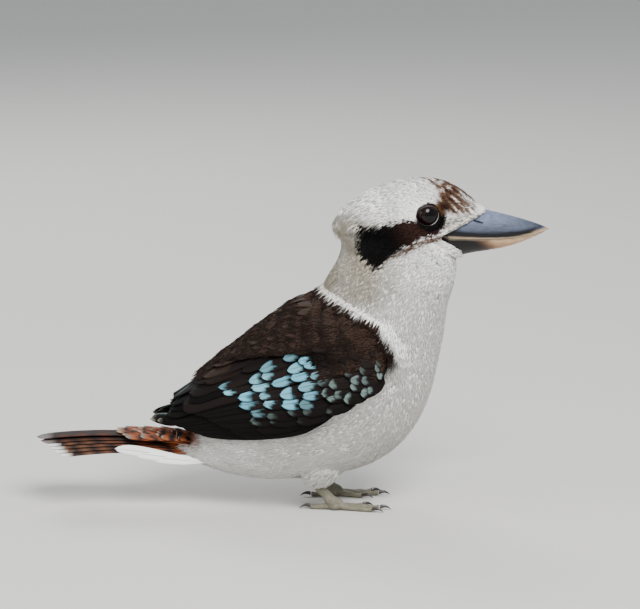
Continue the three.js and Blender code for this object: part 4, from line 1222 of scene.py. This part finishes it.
class KOOKABURRA_OT_tail(bpy.types.Operator):
    """Tail feathers, barred coverts above them and white coverts below"""

    bl_idname = "kookaburra.tail"
    bl_label = "Tail"

    def execute(self, context):
        draw = np.random.default_rng(31)
        web = vane_material("Tail vanes", 0.65)
        feathers = Vanes()
        for pair in range(6):
            for hand in (-1, 1):
                layer = pair if pair or hand > 0 else -1
                lift = (2.4 - layer) * TAIL["layer"]
                start = (TAIL["root"] - 2, hand * (1 + pair * 1.3))
                end = (TAIL["tip"] + 1 + pair * 3.0 + draw.uniform(-0.6, 0.6), hand * (1.6 + pair * 3.2))
                upper, lower, uv, (f, side) = tail_vane(start, end, (lift, lift), 6.8, 0.1)
                length = abs(end[0] - start[0])
                paler = smooth(0.3, 0.9, f) * min(pair, 3) / 6
                light = mix(tint("rufous"), tint("tan"), paler[..., None])
                shade = barred(f, side, length, 12, light, tint("tail") * 0.7, draw.uniform(-2, 2))
                outer_web = hand * side > 0.6
                plain = (0.95 if pair < 2 else 0.85) * smooth(0.2, 0.45, f) * mix(1, 0.82, outer_web)
                shade = mix(shade, tint("tail"), plain[..., None])
                tip = smooth(0.9, 0.95, f) * (0.15 if pair < 2 else 0.9)
                shade = mix(shade, tint("white"), tip[..., None])
                feathers.add(upper, lower, shade, uv)
        feathers.piece("tail_feathers", web, "rufous_feathers", False, "tail")
        above, below = Vanes(), Vanes()
        for row in range(4):
            for k in range(-3, 4):
                start = (TAIL["root"] + 8 - row * 4, k * 2.6)
                end = (-120 + row * 12 + abs(k) * 2.5 + draw.uniform(-2, 2), k * 4.6)
                high = 4.9 + row * 0.75 + (0.3 if k % 2 else 0)
                upper, lower, uv, (f, side) = tail_vane(start, end, (high - 1.5, high), 4.6, 0.22, 12, 7)
                shade = barred(f, side, abs(end[0] - start[0]), 7.5, tint("rufous"), tint("tail") * 0.5,
                               draw.uniform(-2, 2))
                shade = mix(shade, tint("buff"), (0.6 * smooth(0.93, 0.99, f))[..., None])
                above.add(upper, lower, shade, uv)
                start = (TAIL["root"] + 6 - row * 4, k * 2.6)
                end = (-118 + row * 11 + abs(k) * 2.0 + draw.uniform(-2, 2), k * 4.4)
                down = -5.2 - row * 0.75 - (0.3 if k % 2 else 0)
                upper, lower, uv, (f, side) = tail_vane(start, end, (down + 1.5, down), 4.8, 0.22, 12, 7)
                shade = np.broadcast_to(tint("white") * draw.uniform(0.92, 1.0), (*f.shape, 3))
                below.add(upper, lower, shade, uv)
        self.side_coverts(below, draw)
        above.piece("tail_coverts_above", web, "rufous_feathers", False)
        below.piece("tail_coverts_below", web, "white_feathers", False)
        self.root_cap()
        return {"FINISHED"}

    def side_coverts(self, vanes, draw):
        """Long white feathers from the vent that lie up the sides of the tail."""
        for hand in (-1, 1):
            for k, (end, up) in enumerate(((-118, 41.2), (-106, 37.6), (-95, 34.5))):
                f = toward_tip(14, 1.3)[:, None]
                side = np.linspace(-1, 1, 9)[None]
                f, side = np.broadcast_arrays(f * (1 + draw.uniform(-0.03, 0.02, 9)[None] * f**2), side)
                wide = side * mix(1.6, 3.4, smooth(0, 0.55, f)) * round_tip(f, 0.24)
                x = mix(-66 + 3 * k, end, f) + 0.25 * wide * f
                y = hand * (mix(13.5, 19.8 - k, f) + 0.25 * (1 - side**2) - 0.35 * wide)
                z = mix(30.5, up, smooth(-0.2, 1.1, f)) + 0.9 * wide
                point = np.stack([x, y, z], -1)
                out = np.array([0, hand, 0.25]) * 0.14
                uv = np.stack([0.5 + side / 2, f * abs(end + 66) * MM], -1)
                shade = np.broadcast_to(tint("white") * draw.uniform(0.95, 1.02), point.shape)
                vanes.add(point + out, point - out, shade, uv)

    def root_cap(self):
        """The rump's end, a flat wedge of flesh that the quills of the tail leave."""
        # Sections: x, middle height, half width, half height
        sections = [[-48, 38.2, 12, 4.6], [-60, 38.8, 12.4, 5.2], [-75, 39.4, 11, 4.9], [-89, 40, 8.4, 3.8],
                    [-98, 40.4, 5, 1.6]]
        x, middle, wide, high = (column[:, None] for column in through(sections, np.linspace(0, 1, 25)).T)
        angle = np.linspace(0, 2 * math.pi, 33)[None, :-1]
        across = np.sign(np.cos(angle)) * np.abs(np.cos(angle)) ** 0.8
        rings = np.stack(np.broadcast_arrays(x, wide * across, middle + high * np.sin(angle)), -1)
        cap = closed_rings("tail_root", rings)
        bpy.ops.object.shade_smooth()
        bake_map(cap)
        top = smooth(36, 40, from_row(positions(cap.data))[:, 2])[:, None]
        paint(cap.data, mix(tint("buff") * 0.9, tint("rufous") * 0.6, top))
        finish(cap, bpy.data.materials["Wing bed"], "rufous_feathers")


def bill_points(table, steps, arch):
    """Rings of the bill: an arch from one cutting edge over the ridge to the other, and a level mouth."""
    rows = through(table, np.linspace(0, 1, steps + 1))
    angle = np.linspace(0, math.pi, arch + 1)[None]
    up = np.sin(angle) ** 1.15
    out = np.sign(np.cos(angle)) * np.abs(np.cos(angle)) ** 0.85
    rx, rz, ex, ez, half = (rows[:, k, None] for k in range(5))
    ring = np.stack(np.broadcast_arrays(mix(ex, rx, up), -out * half, mix(ez, rz, up)), -1)
    floor = []
    for share in (0.5, 0, -0.5):
        floor.append(np.stack([rows[:, 2], share * rows[:, 4], rows[:, 3]], -1))
    return np.concatenate([ring, np.stack(floor, 1)], 1)


def closed_rings(name, rings):
    """A closed tube through rings of points, its ends filled."""
    count, sides = rings.shape[:2]
    index = np.arange(count * sides).reshape(count, sides)
    after = np.roll(index, -1, axis=1)
    quads = np.stack([index[:-1], after[:-1], after[1:], index[1:]], -1).reshape(-1, 4)
    points = np.concatenate([rings.reshape(-1, 3), rings[:1].mean(1), rings[-1:].mean(1)])
    hub = count * sides
    start = np.stack([after[0], index[0], np.full(sides, hub)], -1)
    end = np.stack([index[-1], after[-1], np.full(sides, hub + 1)], -1)
    obj = made(name, points, [quads, start, end])
    edit(obj, bpy.ops.mesh.normals_make_consistent, inside=False)
    return obj


def bill_material(name, roughness):
    """Bill: a horn sheath worn smooth, with faint lengthwise streaks, satin rather than glossy."""
    n = Nodes(name)
    place = n.add("ShaderNodeTexCoord").outputs["Object"]
    shade = n.add("ShaderNodeVertexColor", layer_name="plumage").outputs["Color"]
    # Streaks about 14 mm long and 0.9 mm across, along the bill
    turn = n.add("ShaderNodeMapping", {"Vector": place, "Rotation": (0, 0, HEAD_YAW),
                                       "Scale": (0.014, 0.0009, 0.0009)}, vector_type="TEXTURE")
    streaks = n.add("ShaderNodeTexNoise", {"Vector": turn.outputs["Vector"], "Scale": 1.0, "Detail": 4.0})
    level = n.add("ShaderNodeMapRange", {"Value": streaks.outputs["Fac"], "From Min": 0.3, "From Max": 0.7,
                                         "To Min": 0.72, "To Max": 1.24})
    scaled = n.add("ShaderNodeVectorMath", {0: shade, 1: level.outputs["Result"]}, operation="MULTIPLY")
    bump = n.add("ShaderNodeBump", {"Height": streaks.outputs["Fac"], "Strength": 0.3, "Distance": 0.0003})
    return n.finish(Base_Color=scaled.outputs["Vector"], Roughness=roughness, Normal=bump.outputs["Normal"],
                    IOR=1.55, Specular_IOR_Level=0.25)


# Colours of the bill: each half's ground, and the places that differ from it; the upper mandible's lighter
# top is a painted sheen
HORN = {
    "upper": "#4d5463", "upper_top_sheen": "#78819a", "upper_band": "#0e0f13", "upper_tip": "#22242b",
    "upper_edge": "#b39a7e", "lower": "#bb9a78", "lower_keel": "#a9764d", "lower_base": "#3c2114",
    "lower_gape": "#0b0807", "lower_edge": "#cdbda6",
}


class KOOKABURRA_OT_bill(bpy.types.Operator):
    """Upper and lower mandible with nostrils, cutting edges and the line of the mouth"""

    bl_idname = "kookaburra.bill"
    bl_label = "Bill"

    def execute(self, context):
        horn = bill_material("Bill horn", 0.46)
        for name, table, node in (("upper", UPPER_BILL, "bill_upper"), ("lower", LOWER_BILL, "bill_lower")):
            rings = bill_points(table, 90, 30)
            obj = closed_rings("mandible_" + name, from_head(rings))
            for end, sign in ((FOREHEAD, 1), (CHIN, -1)):
                self.trim(obj, end, sign)
            if name == "upper":
                self.nostrils(obj)
            bpy.ops.object.shade_smooth_by_angle(angle=math.radians(40))
            head = to_head(from_row(positions(obj.data)))
            paint(obj.data, self.shade(head, name))
            bake_map(obj)
            finish(obj, horn, "horn_grey" if name == "upper" else "horn_tan", node)
        return {"FINISHED"}

    def trim(self, obj, end, sign):
        """Cuts the bill along the edge of the feathers, a little inside the head."""
        dx, dz = end[0] - GAPE[0], end[1] - GAPE[1]
        normal = from_head([sign * dz, 0, -sign * dx]) - from_head([0, 0, 0])
        point = to_row(from_head([GAPE[0] - 0.8, 0, GAPE[1]]))
        edit(obj, bpy.ops.mesh.bisect, plane_co=point, plane_no=normal, use_fill=True, clear_inner=True)

    def nostrils(self, obj):
        for hand in (-1, 1):
            deselect()
            bpy.ops.mesh.primitive_uv_sphere_add(segments=32, ring_count=16, radius=1)
            slit = bpy.context.object
            slit.scale = (NOSTRIL["length"] / 2 * MM, NOSTRIL["depth"] * MM, 0.8 * MM)
            slit.rotation_euler = (0, NOSTRIL["slope"], HEAD_YAW)
            centre = from_head([NOSTRIL["along"], hand * NOSTRIL["out"], NOSTRIL["height"]])
            slit.location = to_row(centre)
            bpy.ops.object.transform_apply(location=True, rotation=True, scale=True)
            apply(obj, "BOOLEAN", object=slit, operation="DIFFERENCE", solver="EXACT")
            bpy.data.objects.remove(slit)
        only(obj)

    def shade(self, head, name):
        """Blue-grey above a black band on the upper mandible, lighter along its top as a painted sheen, tan
        with a dark base on the lower.
        """
        a, z = head[:, 0], head[:, 2]
        above = z - np.interp(a, [row[2] for row in UPPER_BILL], [row[3] for row in UPPER_BILL])
        if name == "upper":
            edge = smooth(1.0, 0.4, above) * smooth(18, 26, a)
            tip = smooth(2.6, 0.9, above) * smooth(84, 94, a)
            shares = [
                # Painted sheen: the top of the upper mandible is made lighter blue-grey
                ("upper_top_sheen", smooth(6, 13, above) * smooth(96, 60, a) * 0.6),
                ("upper_band", smooth(5.6, 3.4, above + 0.02 * (a - 60)) * smooth(97, 88, a)),
                ("upper_tip", smooth(84, 96, a) * smooth(1.5, 3.5, above) * 0.7),
                ("upper_edge", np.maximum(tip, edge) * 0.85),
            ]
        else:
            shares = [
                ("lower_keel", smooth(-2.5, -6.5, above) * smooth(96, 80, a) * 0.6),
                ("lower_base", smooth(62, 47, a + 1.1 * above) * 0.95),
                ("lower_gape", smooth(50, 42, a + 1.3 * above)),
                ("lower_edge", smooth(-1.5, -0.6, above) * smooth(22, 30, a) * 0.55),
            ]
        colour = np.broadcast_to(linear(HORN[name]), head.shape).copy()
        for part, share in shares:
            colour = mix(colour, linear(HORN[part]), share[:, None])
        return colour


class KOOKABURRA_OT_eyes(bpy.types.Operator):
    """Dark brown eyes under bare lids"""

    bl_idname = "kookaburra.eyes"
    bl_label = "Eyes"

    def execute(self, context):
        for word, hand in zip(SIDES, (-1, 1)):
            centre = to_row(from_head([EYE["along"], hand * EYE["out"], EYE["height"]]))
            # The eye looks out to its side, a little forward and up
            axis = from_head([0.18, hand, 0.05]) - from_head([0, 0, 0])
            axis /= np.linalg.norm(axis)
            deselect()
            bpy.ops.mesh.primitive_uv_sphere_add(segments=64, ring_count=48, radius=EYE["radius"] * MM)
            eye = bpy.context.object
            eye.name = "eyeball_" + word
            eye.rotation_euler = Vector(axis).to_track_quat("Z", "Y").to_euler()
            eye.location = centre
            bpy.ops.object.transform_apply(location=True, rotation=True, scale=True)
            self.bulge(eye, centre, axis)
            bpy.ops.object.shade_smooth()
            eye.data.uv_layers[0].name = "OFBake"
            finish(eye, self.eye_material(word, centre, axis), "eye", "eye_" + word)
            self.lids(word, hand)
        return {"FINISHED"}

    def bulge(self, eye, centre, axis):
        """The cornea stands a little proud of the ball."""
        place = positions(eye.data)
        off = place - centre
        share = (off @ axis) / np.linalg.norm(off, axis=1)
        place += off * (0.05 * smooth(0.62, 0.95, share))[:, None]
        move_to(eye.data, place)

    def eye_material(self, word, centre, axis):
        """Eye: a dark brown iris and black pupil seen through a wet cornea, so it is glossy."""
        n = Nodes("Eye " + word)
        place = n.add("ShaderNodeTexCoord").outputs["Object"]
        off = n.add("ShaderNodeVectorMath", {0: place, 1: tuple(centre)}, operation="SUBTRACT")
        unit = n.add("ShaderNodeVectorMath", {0: off.outputs[0]}, operation="NORMALIZE")
        dot = n.add("ShaderNodeVectorMath", {0: unit.outputs[0], 1: tuple(axis)}, operation="DOT_PRODUCT")
        ramp = n.add("ShaderNodeValToRGB", {"Fac": dot.outputs["Value"]})
        stops = [(0.0, "#0c0707"), (0.62, "#140c0b"), (0.7, "#150b08"), (0.84, "#1d100c"),
                 (0.88, "#060405")]
        while len(ramp.color_ramp.elements) < len(stops):
            ramp.color_ramp.elements.new(0.5)
        for element, (at, code) in zip(ramp.color_ramp.elements, stops):
            element.position = at
            element.color = rgba(code)
        return n.finish(Base_Color=ramp.outputs["Color"], Roughness=0.03, IOR=1.3)

    def lids(self, word, hand):
        """A thin bare rim, a little open toward the bill."""
        deselect()
        bpy.ops.mesh.primitive_torus_add(major_segments=96, minor_segments=16, major_radius=1.0,
                                         minor_radius=0.064)
        lid = bpy.context.object
        lid.name = "lids_" + word
        place = positions(lid.data)
        radius = np.hypot(place[:, 0], place[:, 1])
        angle = np.arctan2(place[:, 1], place[:, 0])
        # The rim is a ring of radius 1, drawn out to an opening that is longer than high, with a small
        # corner toward the bill and a heavier upper lid
        corner = 1 + 0.07 * np.exp(-((angle + 0.25) / 0.3) ** 2)
        heavy = mix(1, 1.25, smooth(0.1, 1, np.sin(angle)))
        pulled = corner + (radius - 1) * heavy
        a = place[:, 0] / radius * pulled * (LID["wide"] + 0.15)
        z = place[:, 1] / radius * pulled * (LID["high"] - 0.15)
        ball = np.sqrt(np.maximum((EYE["radius"] + 0.1) ** 2 - a**2 - z**2, 4))
        v = hand * (EYE["out"] + ball + place[:, 2] * EYE["radius"] * heavy + 0.05)
        head = np.stack([EYE["along"] + a, v, EYE["height"] + z], -1)
        move_to(lid.data, to_row(from_head(head)))
        edit(lid, bpy.ops.mesh.normals_make_consistent, inside=False)
        bpy.ops.object.shade_smooth()
        lid.data.uv_layers[0].name = "OFBake"
        # The lower front of the rim is pale, the rest nearly black
        pale = smooth(0.9, 0.5, np.abs(angle + 0.55)) * smooth(1.03, 0.98, radius)
        paint(lid.data, mix(linear("#241c1a"), linear("#a39f9b"), pale[:, None]))
        finish(lid, self.lid_material(), "leg_skin")

    def lid_material(self):
        """Lids: bare skin with fine folds, almost black with a pale lower front."""
        if "Lid skin" in bpy.data.materials:
            return bpy.data.materials["Lid skin"]
        n = Nodes("Lid skin")
        place = n.add("ShaderNodeTexCoord").outputs["Object"]
        folds = n.add("ShaderNodeTexNoise", {"Vector": place, "Scale": 1 / (0.7 * MM), "Detail": 3.0})
        shade = n.add("ShaderNodeVertexColor", layer_name="plumage").outputs["Color"]
        level = n.add("ShaderNodeMapRange", {"Value": folds.outputs["Fac"], "From Min": 0.3,
                                             "From Max": 0.7, "To Min": 0.7, "To Max": 1.3})
        scaled = n.add("ShaderNodeVectorMath", {0: shade, 1: level.outputs["Result"]}, operation="MULTIPLY")
        bump = n.add("ShaderNodeBump", {"Height": folds.outputs["Fac"], "Strength": 0.5,
                                        "Distance": 0.0003})
        return n.finish(Base_Color=scaled.outputs["Vector"], Roughness=0.55, Normal=bump.outputs["Normal"])


def leg_material():
    """Legs: dull olive-grey skin in small horny plates, drawn at about 1.1 mm."""
    n = Nodes("Leg scales")
    place = n.add("ShaderNodeTexCoord").outputs["Object"]
    plates = n.add("ShaderNodeTexVoronoi", {"Vector": place, "Scale": 1 / (1.1 * MM)},
                   feature="DISTANCE_TO_EDGE")
    grain = n.add("ShaderNodeTexNoise", {"Vector": place, "Scale": 1 / (3 * MM), "Detail": 3.0})
    seam = n.add("ShaderNodeMapRange", {"Value": plates.outputs["Distance"], "From Min": 0.0,
                                        "From Max": 0.12, "To Min": 0.45, "To Max": 1.0})
    ramp = n.add("ShaderNodeValToRGB", {"Fac": grain.outputs["Fac"]})
    ramp.color_ramp.elements[0].color = rgba("#5b5748")
    ramp.color_ramp.elements[1].color = rgba("#8f8a74")
    scaled = n.add("ShaderNodeVectorMath", {0: ramp.outputs["Color"], 1: seam.outputs["Result"]},
                   operation="MULTIPLY")
    bump = n.add("ShaderNodeBump", {"Height": seam.outputs["Result"], "Strength": 0.6, "Distance": 0.0003})
    return n.finish(Base_Color=scaled.outputs["Vector"], Roughness=0.6, Normal=bump.outputs["Normal"])


def claw_material():
    """Claws: dark horn, smooth and a little glossy."""
    n = Nodes("Claw horn")
    place = n.add("ShaderNodeTexCoord").outputs["Object"]
    grain = n.add("ShaderNodeTexNoise", {"Vector": place, "Scale": 1 / (1.5 * MM), "Detail": 2.0})
    ramp = n.add("ShaderNodeValToRGB", {"Fac": grain.outputs["Fac"]})
    ramp.color_ramp.elements[0].color = rgba("#1d1917")
    ramp.color_ramp.elements[1].color = rgba("#463d37")
    return n.finish(Base_Color=ramp.outputs["Color"], Roughness=0.32, IOR=1.55)


class KOOKABURRA_OT_feet(bpy.types.Operator):
    """Tarsi, feet and claws"""

    bl_idname = "kookaburra.feet"
    bl_label = "Feet"

    def execute(self, context):
        scales, horn = leg_material(), claw_material()
        for word, hand in zip(SIDES, (-1, 1)):
            nodes = [f"{part}_{word}" for part in ("tarsus", "foot")]
            leg = self.with_ankle(copy_of("leg_skin_" + word, *nodes), hand)
            self.rounded(leg, 0.45, 9, scales, "leg_skin", *nodes)
            for toe in TOES:
                node = f"claw_{toe}_{word}"
                self.rounded(copy_of(f"claw_horn_{toe}_{word}", node), 0.2, 5, horn, "claw_horn", node)
        return {"FINISHED"}

    def with_ankle(self, leg, hand):
        """Joins the shank to the foot with the swelling of the joint, front to back."""
        # Sections: x, middle height, half width, half height
        sections = [[14.6, 8.2, 0.6, 0.8], [16.2, 8.0, 2.9, 3.2], [19.5, 6.4, 3.7, 4.0],
                    [23, 5.2, 3.9, 3.4], [26.5, 4.2, 2.6, 2.4], [28, 3.8, 0.5, 0.6]]
        x, middle, wide, high = (column[:, None] for column in through(sections, np.linspace(0, 1, 17)).T)
        angle = np.linspace(0, 2 * math.pi, 21)[None, :-1]
        rings = np.stack(np.broadcast_arrays(x, hand * LEG_OUT + wide * np.cos(angle),
                                             middle + high * np.sin(angle)), -1)
        joint = closed_rings("ankle", rings)
        only(leg)
        joint.select_set(True)
        bpy.ops.object.join()
        return leg

    def rounded(self, obj, voxel, rounds, material, slot, *nodes):
        """Rounds a copy of faceted solids, in the same place."""
        apply(obj, "REMESH", mode="VOXEL", voxel_size=voxel * MM)
        apply(obj, "SMOOTH", factor=0.5, iterations=rounds)
        bpy.ops.object.shade_smooth()
        bake_map(obj)
        finish(obj, material, slot, *nodes)


def area_light(name, place, size, power, target):
    data = bpy.data.lights.new(name, "AREA")
    data.shape, data.size, data.energy = "DISK", size, power
    light = bpy.data.objects.new(name, data)
    bpy.context.collection.objects.link(light)
    light.location = place
    light.rotation_euler = (Vector(target) - Vector(place)).to_track_quat("-Z", "Y").to_euler()


class KOOKABURRA_OT_stage(bpy.types.Operator):
    """Pale floor, soft light, and the camera at the photograph's angle"""

    bl_idname = "kookaburra.stage"
    bl_label = "Stage"

    def execute(self, context):
        deselect()
        bpy.ops.mesh.primitive_plane_add(size=12)
        floor = bpy.context.object
        floor.name = "floor"
        # Matt and pale, so that it throws soft light up at the bird and shows only a faint shadow
        n = Nodes("Pale floor")
        floor.data.materials.append(n.finish(Base_Color=rgba("#c9c7c3"), Roughness=0.9))
        world = bpy.data.worlds.new("Soft sky")
        world.use_nodes = True
        world.node_tree.nodes["Background"].inputs["Color"].default_value = rgba("#dfe4ea")
        world.node_tree.nodes["Background"].inputs["Strength"].default_value = 0.7
        bpy.context.scene.world = world
        middle = (0, 0, 0.1)
        area_light("key", (0.5, -1.2, 1.5), 1.1, 62, middle)
        area_light("fill", (-1.5, -0.7, 0.8), 1.4, 14, middle)
        area_light("rim", (-0.4, 1.3, 1.2), 0.9, 16, middle)
        # The photo's view: the bird's right side from 12 degrees above, at 0.64 mm a pixel
        distance, wide, elevation = 2.2, 0.4096, math.radians(12)
        aim = Vector((0.0181, 0, 0.1312))
        camera = bpy.data.objects.new("camera", bpy.data.cameras.new("camera"))
        bpy.context.collection.objects.link(camera)
        back = Vector((0, -math.cos(elevation), math.sin(elevation)))
        camera.location = aim + back * distance
        camera.rotation_euler = (-back).to_track_quat("-Z", "Y").to_euler()
        camera.data.sensor_width = 36
        camera.data.lens = 36 * distance / wide
        camera.data.clip_end = 50
        bpy.context.scene.camera = camera
        return {"FINISHED"}


class KOOKABURRA_PT_panel(bpy.types.Panel):
    """Sizes, colours and pieces in the sidebar"""

    bl_idname = "KOOKABURRA_PT_panel"
    bl_label = "Kookaburra"
    bl_space_type = "VIEW_3D"
    bl_region_type = "UI"
    bl_category = "Kookaburra"

    def draw(self, context):
        for group in (sizes(), colours()):
            for key in group.__annotations__:
                self.layout.prop(group, key)
        for step in STEPS:
            self.layout.operator(step.bl_idname)


STEPS = (
    KOOKABURRA_OT_stage,
    KOOKABURRA_OT_skin,
    KOOKABURRA_OT_coat,
    KOOKABURRA_OT_wings,
    KOOKABURRA_OT_tail,
    KOOKABURRA_OT_bill,
    KOOKABURRA_OT_eyes,
    KOOKABURRA_OT_feet,
)
CLASSES = (KookaburraColours, KookaburraSizes, *STEPS, KOOKABURRA_PT_panel)


def register():
    for cls in CLASSES:
        bpy.utils.register_class(cls)
    bpy.types.Scene.kookaburra_colours = bpy.props.PointerProperty(type=KookaburraColours)
    bpy.types.Scene.kookaburra_sizes = bpy.props.PointerProperty(type=KookaburraSizes)


def unregister():
    del bpy.types.Scene.kookaburra_colours
    del bpy.types.Scene.kookaburra_sizes
    for cls in reversed(CLASSES):
        bpy.utils.unregister_class(cls)


def main():
    register()
    for step in STEPS:
        group, name = step.bl_idname.split(".")
        getattr(getattr(bpy.ops, group), name)()


if __name__ == "__main__":
    main()
